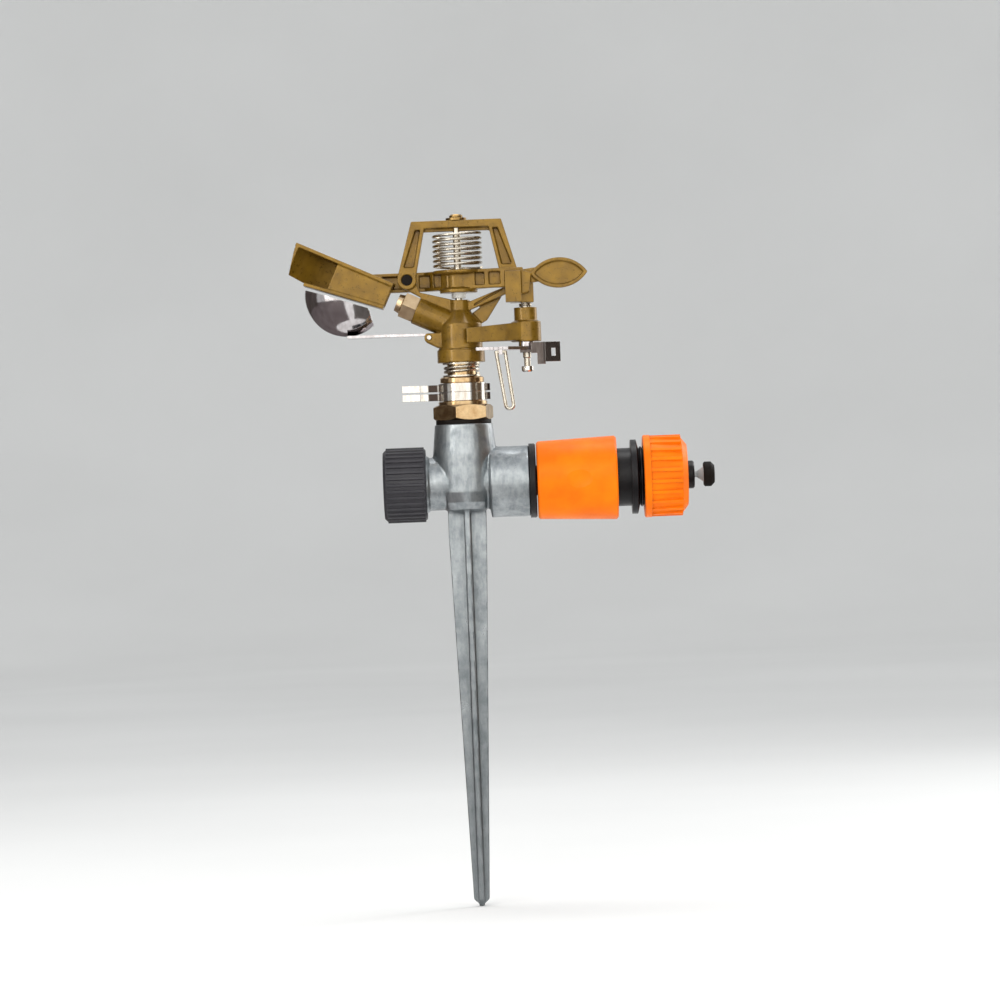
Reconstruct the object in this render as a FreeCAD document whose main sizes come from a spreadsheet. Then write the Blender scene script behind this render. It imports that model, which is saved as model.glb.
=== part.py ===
"""Impact sprinkler on a ground spike, with an end cap and a quick-connect hose coupler.

Millimetres and degrees. +Z is up, +X is the side the hose comes from, and -Y is the front.
The origin is on the riser's axis at the level of the soil when the spike is pushed in.

Three tilted frames are used beside the upright one: JET, whose local Z runs out along the water
jet and local X stands square above it; EAST and WEST, whose local Z runs along the cross pipe.
"""

import FreeCAD, Part
import os
import re
import Sketcher
from FreeCAD import Placement, Rotation, Vector
from math import atan, cos, degrees, sin

SIZES = {
    # tee and spike, cast in one
    "pipe_height": 24.0,
    "riser_radius": 12.9,
    "riser_top": 50.2,
    "column_radius": 14.2,
    "column_flare_low": 37.0,
    "column_waist": 27.0,
    "column_half_width": 8.6,
    "column_round": 20.0,
    "column_low": 11.0,
    "riser_socket_radius": 10.52,
    "riser_socket_floor": 39.0,
    "waterway_radius": 5.5,
    "outlet_neck_radius": 11.8,
    "outlet_neck_end": 17.4,
    "outlet_rim": 0.7,
    "outlet_end": 32.3,
    "outlet_bore_radius": 8.5,
    "inlet_radius": 15.7,
    "inlet_start": 11.1,
    "inlet_end": 28.3,
    "inlet_socket_start": 14.0,
    "pipe_thread_radius": 13.2,
    "thread_pitch": 1.814,
    "thread_depth": 1.0,
    "spike_parallel_end": 1.0,
    "spike_half_width": 8.55,
    "spike_tip_half_width": 3.5,
    "spike_taper_end": -161.0,
    "spike_tip": -164.2,
    "spike_web": 2.4,
    # riser nipple and its bearing
    "nipple_low": 42.6,
    "nipple_thread_radius": 10.45,
    "nipple_bore_radius": 6.5,
    "gasket_thickness": 1.8,
    "gasket_radius": 12.3,
    "hex_across_flats": 24.0,
    "hex_thickness": 6.7,
    "hex_turn": 17.0,
    "collar_seat_radius": 8.6,
    "collar_seat_low": 60.5,
    "collar_seat_top": 68.5,
    "nipple_top": 71.2,
    "nipple_lip_radius": 9.8,
    "inner_tube_radius": 6.42,
    "inner_tube_bore_radius": 4.8,
    "inner_tube_flange_radius": 8.6,
    "inner_tube_flange": 1.4,
    "inner_tube_top": 88.0,
    "seal_thickness": 0.8,
    "bearing_spring_radius": 7.35,
    "bearing_spring_wire_radius": 0.7,
    "bearing_washer_radius": 8.45,
    "bearing_washer": 0.8,
    # stop collars
    "collar_inner_radius": 8.9,
    "collar_outer_radius": 10.65,
    "collar_thickness": 3.8,
    "collar_gap": 0.1,
    "collar_ear_reach": 26.7,
    "collar_ear_block": 7.8,
    "collar_ear_half_depth": 2.6,
    "collar_ear_web_half_depth": 0.7,
    "collar_ear_inset": 0.35,
    "collar_curl_radius": 1.3,
    # head casting
    "head_low": 77.6,
    "skirt_radius": 10.6,
    "skirt_top": 83.1,
    "barrel_radius": 9.75,
    "barrel_top": 94.7,
    "pin_boss_radius": 4.6,
    "pin_boss_top": 105.4,
    "jet_height": 92.6,
    "jet_angle": 25.0,
    "jet_tube_radius": 6.15,
    "jet_tube_length": 21.3,
    "jet_tube_bore_radius": 3.4,
    "nozzle_thread_radius": 4.5,
    "web_half_depth": 2.4,
    "bridge_top": 140.8,
    "bridge_bar": 3.3,
    "bridge_half_top": 20.0,
    "bridge_half_opening": 14.3,
    "bridge_half_opening_low": 18.8,
    "bridge_half_low": 27.0,
    "bridge_low": 116.0,
    "bridge_half_depth": 4.0,
    "bridge_recess": 2.4,
    "bridge_rim": 1.7,
    "buffer_reach": 22.8,
    "buffer_height": 115.0,
    "buffer_boss_radius": 4.2,
    "buffer_radius": 2.45,
    "block_left": 22.8,
    "block_right": 33.2,
    "block_low": 103.2,
    "block_top": 118.0,
    # nozzle
    "nozzle_across_flats": 11.0,
    "nozzle_hex_length": 6.4,
    "nozzle_length": 9.1,
    "nozzle_tip_radius": 4.3,
    "nozzle_orifice_radius": 2.1,
    # fulcrum pin and its spring
    "pin_radius": 1.7,
    "pin_low": 98.4,
    "pin_cap_radius": 4.6,
    "pin_cap_top": 143.5,
    "arm_spring_radius": 10.5,
    "arm_spring_wire_radius": 0.6,
    "arm_spring_low": 119.6,
    "arm_spring_high": 134.9,
    "arm_spring_turns": 7,
    # drive arm
    "arm_low": 110.0,
    "arm_top": 118.6,
    "arm_flange": 1.5,
    "arm_front": 4.7,
    "arm_back": 9.2,
    "arm_reach": 42.0,
    "arm_turn_back": 15.0,
    "arm_turn_front": 12.0,
    "hub_radius": 6.2,
    "hub_low": 108.6,
    "hub_seat_radius": 11.2,
    "bushing_radius": 3.2,
    "bushing_bore_radius": 1.79,
    "bushing_low": 106.2,
    "bushing_top": 119.2,
    "weight_left": 20.7,
    "weight_right": 27.8,
    "weight_low": 103.2,
    "weight_top": 117.0,
    "weight_front": 11.2,
    "arm_neck_front": 9.4,
    "arm_neck_back": 4.6,
    "leaf_centre": 44.7,
    "leaf_height": 115.6,
    "leaf_arc_radius": 15.3,
    "leaf_arc_drop": 8.55,
    "leaf_rim": 1.5,
    "leaf_front": 9.0,
    "leaf_back": 6.2,
    "leaf_recess": 0.8,
    # spoon of the drive arm, measured along and across the jet
    "spoon_half_width": 7.0,
    "spoon_wall": 1.4,
    "spoon_roof": 5.4,
    "spoon_floor": 8.0,
    "spoon_mouth_floor": 3.8,
    "spoon_plate": 1.6,
    "spoon_start": 34.8,
    "spoon_near_end": 61.0,
    "spoon_roof_end": 81.6,
    "spoon_tip_low": 79.3,
    "spoon_floor_end": 71.5,
    "spoon_bend_radius": 23.3,
    # deflector
    "deflector_hinge_reach": 13.9,
    "deflector_hinge_height": 89.1,
    "deflector_knuckle_radius": 2.0,
    "deflector_pin_radius": 1.0,
    "deflector_knuckle_half": 2.5,
    "deflector_ear_outer": 5.0,
    "deflector_sheet": 1.2,
    "bowl_radius": 18.5,
    "bowl_reach": 50.0,
    "bowl_height": 109.5,
    "bowl_half_width": 14.5,
    "bowl_clearance": 1.6,
    "bowl_right": 41.0,
    "bowl_left": 82.0,
    "bowl_under": 45.0,
    "bowl_under_start": 7.43,
    "tongue_half_width": 7.0,
    "tongue_narrow_end": 20.0,
    "tongue_wide_start": 38.0,
    # trip mechanism
    "trip_reach": 29.3,
    "trip_pin_radius": 1.8,
    "trip_shank_radius": 1.4,
    "trip_pin_low": 73.0,
    "trip_pin_top": 110.0,
    "trip_cap_radius": 2.65,
    "trip_spring_wire_radius": 0.35,
    "hammer_low": 85.8,
    "hammer_shoulder": 94.6,
    "hammer_top": 101.0,
    "hammer_boss_radius": 6.65,
    "hammer_neck_radius": 5.1,
    "hammer_left": 2.9,
    "hammer_front": 15.2,
    "hammer_thickness": 4.0,
    "hammer_bend": 14.0,
    "hammer_bend_back": 7.2,
    "hammer_end_height": 92.3,
    "trip_plate_low": 82.2,
    "trip_plate": 1.4,
    "trip_plate_left": 6.8,
    "trip_plate_front": 14.0,
    "bracket_low": 75.5,
    "bracket_top": 85.3,
    "bracket_left": 31.2,
    "bracket_fold": 37.4,
    "bracket_right": 44.1,
    "bracket_sheet": 1.2,
    "bracket_front": 5.6,
    "wire_radius": 0.8,
    "wire_slot": 1.2,
    "wire_left": 15.6,
    "wire_gap": 4.0,
    "wire_top": 81.2,
    "wire_bottom": 57.8,
    "wire_lean": 3.4,
    "wire_right_lean": 0.85,
    "wire_front": 12.8,
    # end cap
    "cap_radius": 15.9,
    "cap_rib": 0.75,
    "cap_rib_count": 36,
    "cap_open": 17.5,
    "cap_end": 36.5,
    "cap_floor": 2.4,
    "cap_bore_radius": 13.55,
    "cap_washer": 1.6,
    # hose adapter with its quick-connect spigot
    "adapter_thread_start": 15.6,
    "adapter_flange_end": 31.2,
    "adapter_flange_radius": 16.5,
    "spigot_neck_radius": 6.6,
    "spigot_collar_start": 37.0,
    "spigot_collar_end": 41.0,
    "spigot_collar_radius": 8.4,
    "spigot_nose_radius": 7.4,
    "spigot_end": 55.0,
    "spigot_bore_radius": 4.8,
    "spigot_pusher_radius": 2.2,
    "spigot_bar": 1.6,
    "o_ring_reach": 49.2,
    "o_ring_mean_radius": 7.2,
    "o_ring_wire_radius": 1.1,
    # coupler
    "coupler_start": 33.0,
    "coupler_bore_radius": 8.8,
    "coupler_front_radius": 12.5,
    "coupler_shoulder_start": 61.0,
    "coupler_shoulder_end": 63.5,
    "coupler_shoulder_radius": 14.4,
    "coupler_waist_start": 66.5,
    "coupler_waist_radius": 12.9,
    "coupler_flange_start": 73.5,
    "coupler_flange_end": 76.0,
    "coupler_flange_radius": 16.5,
    "coupler_thread_end": 90.0,
    "coupler_thread_radius": 13.35,
    "coupler_thread_bore_radius": 9.9,
    "barb_radius": 6.2,
    "barb_ridge_radius": 6.8,
    "barb_end": 101.5,
    "barb_bore_radius": 4.3,
    "jaw_start": 34.6,
    "jaw_end": 36.8,
    "jaw_inner_radius": 8.85,
    "jaw_half_width": 3.0,
    "sleeve_start": 31.7,
    "sleeve_end": 67.2,
    "sleeve_front_radius": 17.3,
    "sleeve_rear_radius": 18.6,
    "sleeve_bore_radius": 12.9,
    "sleeve_pocket_start": 45.0,
    "sleeve_pocket_radius": 14.9,
    "sleeve_spring_radius": 13.7,
    "sleeve_spring_wire_radius": 0.6,
    "grip_hollow_radius": 22.0,
    "grip_hollow_depth": 0.7,
    "valve_stem_radius": 1.3,
    "valve_head": 1.2,
    "valve_guide_start": 62.0,
    "valve_guide_end": 65.0,
    "valve_spring_radius": 2.6,
    "valve_spring_wire_radius": 0.4,
    "valve_flare_start": 102.6,
    "valve_flare_radius": 3.4,
    "valve_disc_start": 105.6,
    "valve_disc_end": 110.5,
    "valve_disc_radius": 5.5,
    # hose nut
    "nut_start": 79.0,
    "nut_end": 98.4,
    "nut_radius": 17.5,
    "nut_end_radius": 16.6,
    "nut_rib": 0.8,
    "nut_rib_count": 22,
    "nut_bore_radius": 13.75,
    "nut_wall": 2.4,
    "nut_hole_radius": 9.6,
    "grip_ring_start": 90.6,
    "grip_ring_bore_radius": 8.4,
    "fit_gap": 0.05,
}

JET = {"z": "jet_height", "axis": (0, -1, 0), "turn": "90 - jet_angle"}
EAST = {"z": "pipe_height", "axis": (0, 1, 0), "turn": "90"}
WEST = {"z": "pipe_height", "axis": (0, -1, 0), "turn": "90"}
BACKWARD = {"axis": (-1, 0, 0), "turn": "90"}

doc = FreeCAD.newDocument("sprinkler")
sheet = doc.addObject("Spreadsheet::Sheet", "Sizes")
for row, (alias, size) in enumerate(SIZES.items(), 1):
    sheet.set(f"A{row}", alias)
    sheet.set(f"B{row}", str(size))
    sheet.setAlias(f"B{row}", alias)
doc.recompute()
subparts = []


# ---- expressions, placing and exporting ---------------------------------------------------------


def bound(expression):
    """The expression with the sheet's name before each of its cells."""
    words = r"[a-z][a-z_]*"
    return re.sub(words, lambda word: "Sizes." + word[0] if word[0] in SIZES else word[0], str(expression))


def number(expression):
    """The present value of an expression."""
    return float(sheet.evalExpression(bound(expression)))


def bind(item, **properties):
    for name, expression in properties.items():
        item.setExpression(name, bound(expression))
    return item


def place(item, x="0", y="0", z="0", axis=(0, 0, 1), turn="0"):
    """Puts an object's origin at a point and turns it about one axis through that point."""
    item.Placement = Placement(Vector(), Rotation(Vector(*axis), number(turn)))
    if turn != "0":
        item.setExpression("Placement.Rotation.Angle", bound(turn))
    for letter, expression in (("x", x), ("y", y), ("z", z)):
        item.setExpression("Placement.Base." + letter, bound(expression))
    return item


def subpart(label, item):
    """Names a finished piece, which is written out under that name."""
    item.Label = label
    subparts.append(item)
    return item


# ---- pieces made in bodies ----------------------------------------------------------------------


def origin_item(body, role):
    return next(item for item in body.Origin.OriginFeatures if item.Role == role)


def sketch_on(body, plane, offset="0"):
    sketch = body.newObject("Sketcher::SketchObject", "Outline")
    sketch.AttachmentSupport = (origin_item(body, plane), [""])
    sketch.MapMode = "FlatFace"
    sketch.setExpression("AttachmentOffset.Base.z", bound(offset))
    return sketch


def fix_point(sketch, curve, point, across, up):
    for kind, expression in (("DistanceX", across), ("DistanceY", up)):
        constraint = Sketcher.Constraint(kind, -1, 1, curve, point, number(expression))
        index = sketch.addConstraint(constraint)
        sketch.setExpression(f"Constraints[{index}]", bound(expression))


def draw_outline(sketch, corners):
    """A closed outline of straight edges through corners given as pairs of expressions."""
    points = [Vector(number(across), number(up), 0) for across, up in corners]
    following = points[1:] + points[:1]
    for start, end in zip(points, following):
        sketch.addGeometry(Part.LineSegment(start, end), False)
    for index in range(len(corners)):
        after = (index + 1) % len(corners)
        sketch.addConstraint(Sketcher.Constraint("Coincident", index, 2, after, 1))
    for index, (across, up) in enumerate(corners):
        fix_point(sketch, index, 1, across, up)


def draw_circle(sketch, across, up, radius):
    centre = Vector(number(across), number(up), 0)
    curve = sketch.addGeometry(Part.Circle(centre, Vector(0, 0, 1), number(radius)), False)
    fix_point(sketch, curve, 3, across, up)
    index = sketch.addConstraint(Sketcher.Constraint("Radius", curve, number(radius)))
    sketch.setExpression(f"Constraints[{index}]", bound(radius))


def turned(corners, **where):
    """A lathe-turned body: corners are (radius, height) along its own Z axis."""
    body = doc.addObject("PartDesign::Body", "Turned")
    sketch = sketch_on(body, "XZ_Plane")
    draw_outline(sketch, corners)
    revolution = body.newObject("PartDesign::Revolution", "Revolution")
    revolution.Profile = sketch
    revolution.ReferenceAxis = (sketch, ["V_Axis"])
    revolution.Angle = 360
    return place(body, **where)


def rod(radius, start, end, **where):
    return turned([("0", start), (radius, start), (radius, end), ("0", end)], **where)


def tube(inner, outer, start, end, **where):
    return turned([(inner, start), (outer, start), (outer, end), (inner, end)], **where)


def pad_between(body, plane, draw, start, end):
    """Pads an outline between two places on the plane's third axis. XZ_Plane pads towards -Y."""
    offset = f"-({end})" if plane == "XZ_Plane" else start
    sketch = sketch_on(body, plane, offset)
    draw(sketch)
    pad = body.newObject("PartDesign::Pad", "Pad")
    pad.Profile = sketch
    bind(pad, Length=f"({end}) - ({start})")
    return pad


def plate(plane, corners, start, end, **where):
    """A flat body with straight edges, standing on one of its own origin planes."""
    body = doc.addObject("PartDesign::Body", "Plate")
    pad_between(body, plane, lambda sketch: draw_outline(sketch, corners), start, end)
    return place(body, **where)


def box(x_range, y_range, z_range, **where):
    left, right = x_range
    front, back = y_range
    corners = [(left, front), (right, front), (right, back), (left, back)]
    return plate("XY_Plane", corners, *z_range, **where)


def hexagon(across_flats, turn):
    reach = f"({across_flats}) / 2 / cos(30)"
    angles = [f"({turn}) + {60 * corner}" for corner in range(6)]
    return [(f"{reach} * cos({angle})", f"{reach} * sin({angle})") for angle in angles]


def ribbed(body, corners, start, end, count):
    """Adds one rib to a turned body and repeats it all round."""
    pad = pad_between(body, "XY_Plane", lambda sketch: draw_outline(sketch, corners), start, end)
    doc.recompute()
    pattern = body.newObject("PartDesign::PolarPattern", "Ribs")
    pattern.Originals = [pad]
    pattern.Axis = (origin_item(body, "Z_Axis"), [""])
    pattern.Angle = 360
    bind(pattern, Occurrences=count)
    body.Tip = pattern
    return body


def thread_crests(radius, start, count):
    """Profile corners of a pipe thread's crests, from the start upwards."""
    corners = []
    for crest in range(count):
        low = f"{start} + {crest} * thread_pitch"
        corners.append((f"{radius} - thread_depth", low))
        corners.append((radius, f"{low} + 0.35 * thread_pitch"))
        corners.append((radius, f"{low} + 0.65 * thread_pitch"))
    corners.append((f"{radius} - thread_depth", f"{start} + {count} * thread_pitch"))
    return corners


# ---- booleans and coils -------------------------------------------------------------------------


def fuse(*pieces):
    fusion = doc.addObject("Part::MultiFuse", "Fusion")
    fusion.Shapes = list(pieces)
    fusion.Refine = True
    return fusion


def cut(base, *tools):
    result = doc.addObject("Part::Cut", "Cut")
    result.Base = base
    result.Tool = tools[0] if len(tools) == 1 else fuse(*tools)
    result.Refine = True
    return result


def common(*pieces):
    shared = doc.addObject("Part::MultiCommon", "Common")
    shared.Shapes = list(pieces)
    shared.Refine = True
    return shared


def coil(radius, wire, length, turns, **where):
    """A coil spring of tilted half rings that meet in line, between its two ends' centres."""
    half_turns = round(2 * number(turns))
    rise = number(length) / half_turns
    lean = atan(rise / 2 / number(radius))
    halves = []
    for index in range(half_turns):
        half = doc.addObject("Part::Torus", "HalfTurn")
        slant = f"sqrt(({radius}) ^ 2 + (({length}) / {2 * half_turns}) ^ 2)"
        bind(half, Radius1=slant, Radius2=wire, Angle3="180")
        height = f"({length}) * {index + 0.5} / {half_turns}"
        if index % 2 == 0:
            place(half, z=height, axis=(0, 1, 0), turn=str(degrees(lean)))
        else:
            place(half, z=height, axis=(cos(lean / 2), 0, sin(lean / 2)), turn="180")
        halves.append(half)
    return place(fuse(*halves), **where)


def bar(radius, start, end):
    """A round bar between two points."""
    length = end - start
    item = bind(doc.addObject("Part::Cylinder", "Bar"), Radius=radius, Height=str(length.Length))
    item.Placement = Placement(start, Rotation(Vector(0, 0, 1), length))
    return item


def ball(radius, centre):
    item = bind(doc.addObject("Part::Sphere", "Ball"), Radius=radius)
    item.Placement = Placement(centre, Rotation())
    return item


# ---- tee, spike and end cap ---------------------------------------------------------------------


def make_spike_tee():
    # the riser widens downwards into a column that stands proud of the cross pipe, front and back
    round_depth = "(column_round - column_low)"
    column = turned([
        ("0", "column_low"),
        ("column_radius - 0.62 * column_radius", "column_low"),
        ("column_radius - 0.29 * column_radius", f"column_low + 0.14 * {round_depth}"),
        ("column_radius - 0.08 * column_radius", f"column_low + 0.5 * {round_depth}"),
        ("column_radius", "column_round"),
        ("column_radius", "column_flare_low"),
        ("riser_radius", "riser_top"),
        ("0", "riser_top"),
    ])
    front = plate("XZ_Plane", [
        ("-column_half_width", "column_low - 1"),
        ("column_half_width", "column_low - 1"),
        ("column_half_width", "column_waist"),
        ("column_radius + 1", "column_flare_low"),
        ("column_radius + 1", "riser_top + 1"),
        ("-column_radius - 1", "riser_top + 1"),
        ("-column_radius - 1", "column_flare_low"),
        ("-column_half_width", "column_waist"),
    ], "-column_radius - 1", "column_radius + 1")
    outlet_corners = [
        ("0", "0"),
        ("outlet_neck_radius", "0"),
        ("outlet_neck_radius", "outlet_neck_end - 1.3 * outlet_rim"),
        ("outlet_neck_radius + outlet_rim", "outlet_neck_end - 1.2 * outlet_rim"),
        ("outlet_neck_radius + outlet_rim", "outlet_neck_end"),
    ]
    outlet_corners += thread_crests("pipe_thread_radius", "outlet_neck_end", 8)
    outlet_corners += [("pipe_thread_radius - thread_depth", "outlet_end"), ("0", "outlet_end")]
    outlet = turned(outlet_corners, **WEST)
    inlet = turned([
        ("0", "0"),
        ("outlet_neck_radius", "0"),
        ("outlet_neck_radius", "inlet_start - 0.8"),
        ("inlet_radius", "inlet_start"),
        ("inlet_radius", "inlet_end"),
        ("0", "inlet_end"),
    ], **EAST)
    blade = [
        ("-spike_half_width", "column_round"),
        ("-spike_half_width", "spike_parallel_end"),
        ("-spike_tip_half_width", "spike_taper_end"),
        ("0", "spike_tip"),
        ("spike_tip_half_width", "spike_taper_end"),
        ("spike_half_width", "spike_parallel_end"),
        ("spike_half_width", "column_round"),
    ]
    wide_blade = plate("XZ_Plane", blade, "-spike_web / 2", "spike_web / 2")
    deep_blade = plate("YZ_Plane", blade, "-spike_web / 2", "spike_web / 2")
    casting = fuse(common(column, front), outlet, inlet, wide_blade, deep_blade)
    riser_bore = turned([
        ("0", "pipe_height"),
        ("waterway_radius", "pipe_height"),
        ("waterway_radius", "riser_socket_floor"),
        ("riser_socket_radius", "riser_socket_floor"),
        ("riser_socket_radius", "riser_top + 1"),
        ("0", "riser_top + 1"),
    ])
    outlet_bore = turned([
        ("0", "0"),
        ("waterway_radius", "0"),
        ("waterway_radius", "outlet_neck_radius"),
        ("outlet_bore_radius", "outlet_neck_radius"),
        ("outlet_bore_radius", "outlet_end + 1"),
        ("0", "outlet_end + 1"),
    ], **WEST)
    inlet_bore = turned([
        ("0", "-1"),
        ("waterway_radius", "-1"),
        ("waterway_radius", "inlet_socket_start"),
        ("pipe_thread_radius + fit_gap", "inlet_socket_start"),
        ("pipe_thread_radius + fit_gap", "inlet_end + 1"),
        ("0", "inlet_end + 1"),
    ], **EAST)
    subpart("spike_tee", cut(casting, riser_bore, outlet_bore, inlet_bore))


def make_end_cap():
    shell = turned([
        ("0", "cap_end"),
        ("0", "cap_end - cap_floor"),
        ("cap_bore_radius", "cap_end - cap_floor"),
        ("cap_bore_radius", "cap_open"),
        ("cap_radius - 0.6", "cap_open"),
        ("cap_radius", "cap_open + 0.6"),
        ("cap_radius", "cap_end - 1.2"),
        ("cap_radius - 1.2", "cap_end"),
    ], **WEST)
    rib = [
        ("cap_radius - 0.6", "-0.8"),
        ("cap_radius + cap_rib", "-0.45"),
        ("cap_radius + cap_rib", "0.45"),
        ("cap_radius - 0.6", "0.8"),
    ]
    subpart("end_cap", ribbed(shell, rib, "cap_open + 0.8", "cap_end - 1.4", "cap_rib_count"))
    top = "cap_end - cap_floor - fit_gap"
    washer = tube("outlet_bore_radius", "pipe_thread_radius", f"{top} - cap_washer", top, **WEST)
    subpart("end_cap_washer", washer)


# ---- riser nipple, stop collars and head bearing ------------------------------------------------


def make_nipple():
    hex_low = "riser_top + gasket_thickness"
    hex_top = f"{hex_low} + hex_thickness"
    shank_corners = [("nipple_bore_radius", "nipple_low")]
    shank_corners += thread_crests("nipple_thread_radius", "nipple_low", 4)
    shank_corners += [
        ("nipple_thread_radius", "riser_top"),
        ("nipple_thread_radius", hex_low),
        ("nipple_thread_radius + 0.4", hex_low),
        ("nipple_thread_radius + 0.4", "collar_seat_low - 0.2"),
        ("collar_seat_radius", "collar_seat_low - 0.2"),
        ("collar_seat_radius", "collar_seat_top + 0.2"),
        ("nipple_lip_radius", "collar_seat_top + 0.2"),
        ("nipple_lip_radius", "nipple_top - 0.6"),
        ("nipple_lip_radius - 0.6", "nipple_top"),
        ("nipple_bore_radius", "nipple_top"),
    ]
    shank = turned(shank_corners)
    prism = plate("XY_Plane", hexagon("hex_across_flats", "hex_turn"), hex_low, hex_top)
    dressing = turned([
        ("0", hex_low),
        ("hex_across_flats / 2", hex_low),
        ("hex_across_flats / 2 + 2", f"{hex_low} + 1.1"),
        ("hex_across_flats / 2 + 2", f"{hex_top} - 1.1"),
        ("hex_across_flats / 2", hex_top),
        ("0", hex_top),
    ])
    bore = rod("nipple_bore_radius", "nipple_low - 1", "nipple_top + 1")
    subpart("bearing_nipple", fuse(shank, cut(common(prism, dressing), bore)))
    gasket = tube("nipple_thread_radius + fit_gap", "gasket_radius", "riser_top", hex_low)
    subpart("riser_gasket", gasket)


def make_stop_collar(label, low):
    """A friction collar: a ring, an ear pointing -X that the trip wire meets, and a curled end."""
    top = f"{low} + collar_thickness"
    ear_low = f"{low} + collar_ear_inset"
    ear_top = f"{top} - collar_ear_inset"
    ring = tube("collar_inner_radius", "collar_outer_radius", low, top)
    block_right = "-collar_ear_reach + collar_ear_block"
    web = box(
        (block_right, "-collar_outer_radius + 0.8"),
        ("-collar_ear_web_half_depth", "collar_ear_web_half_depth"),
        (ear_low, ear_top),
    )
    block = box(
        ("-collar_ear_reach", block_right),
        ("-collar_ear_half_depth", "collar_ear_half_depth"),
        (ear_low, ear_top),
    )
    curl = rod("collar_curl_radius", ear_low, ear_top, x="collar_outer_radius + 0.4", y="-1.5")
    subpart(label, fuse(ring, web, block, curl))


def make_head_bearing():
    flange_top = "nipple_low - 2 * seal_thickness - fit_gap"
    tube_low = f"{flange_top} - inner_tube_flange"
    subpart("inner_tube", turned([
        ("inner_tube_bore_radius", tube_low),
        ("inner_tube_flange_radius", tube_low),
        ("inner_tube_flange_radius", flange_top),
        ("inner_tube_radius", flange_top),
        ("inner_tube_radius", "inner_tube_top"),
        ("inner_tube_bore_radius", "inner_tube_top"),
    ]))
    inner = "inner_tube_radius + fit_gap"
    middle = f"{flange_top} + seal_thickness"
    subpart("thrust_washer", tube(inner, "inner_tube_flange_radius", flange_top, middle))
    seal_top = f"{middle} + seal_thickness"
    subpart("seal_washer", tube(inner, "inner_tube_flange_radius - 0.3", middle, seal_top))
    low = "nipple_top + fit_gap"
    lower = tube(inner, "bearing_washer_radius", low, f"{low} + bearing_washer")
    upper = tube(inner, "bearing_washer_radius", "head_low - bearing_washer", "head_low")
    subpart("bearing_washers", doc_group(lower, upper))
    first = f"{low} + bearing_washer + bearing_spring_wire_radius + 0.02"
    last = "head_low - bearing_washer - bearing_spring_wire_radius - 0.02"
    spring = coil("bearing_spring_radius", "bearing_spring_wire_radius", f"{last} - ({first})", "2", z=first)
    subpart("bearing_spring", spring)


def doc_group(*pieces):
    """Several separate solids under one name."""
    group = doc.addObject("Part::Compound", "Group")
    group.Links = list(pieces)
    return group


# ---- head casting -------------------------------------------------------------------------------


def make_barrel():
    return turned([
        ("0", "head_low"),
        ("skirt_radius", "head_low"),
        ("skirt_radius", "skirt_top"),
        ("barrel_radius", "skirt_top + 0.8"),
        ("barrel_radius", "barrel_top"),
        ("pin_boss_radius + 1.6", "barrel_top + 4.2"),
        ("pin_boss_radius", "pin_boss_top - 4.4"),
        ("pin_boss_radius", "pin_boss_top"),
        ("0", "pin_boss_top"),
    ])


def make_bridge():
    """The A-shaped bridge that holds the fulcrum pin's top, with its legs hollowed to an H section."""
    frame = plate("XZ_Plane", [
        ("-bridge_half_low", "bridge_low"),
        ("-bridge_half_top", "bridge_top"),
        ("bridge_half_top", "bridge_top"),
        ("bridge_half_low", "bridge_low"),
        ("bridge_half_opening_low", "bridge_low"),
        ("bridge_half_opening", "bridge_top - bridge_bar"),
        ("-bridge_half_opening", "bridge_top - bridge_bar"),
        ("-bridge_half_opening_low", "bridge_low"),
    ], "-bridge_half_depth", "bridge_half_depth")
    hollows = []
    for side in ("-1", "1"):
        corners = [
            (f"{side} * (bridge_half_low - bridge_rim - 1.2)", "bridge_low + 4.5"),
            (f"{side} * (bridge_half_top - bridge_rim)", "bridge_top - bridge_bar - 0.5"),
            (f"{side} * (bridge_half_opening + bridge_rim)", "bridge_top - bridge_bar - 0.5"),
            (f"{side} * (bridge_half_opening_low + bridge_rim - 1.0)", "bridge_low + 4.5"),
        ]
        floor = "bridge_half_depth - bridge_recess"
        hollows.append(plate("XZ_Plane", corners, "-bridge_half_depth - 1", f"-({floor})"))
        hollows.append(plate("XZ_Plane", corners, floor, "bridge_half_depth + 1"))
    rail = box(
        ("-bridge_half_opening - 0.5", "bridge_half_opening + 0.5"),
        ("-1.5", "1.5"),
        ("bridge_top - bridge_bar - 1.5", "bridge_top - bridge_bar + 0.5"),
    )
    return fuse(cut(frame, *hollows), rail)


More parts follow.
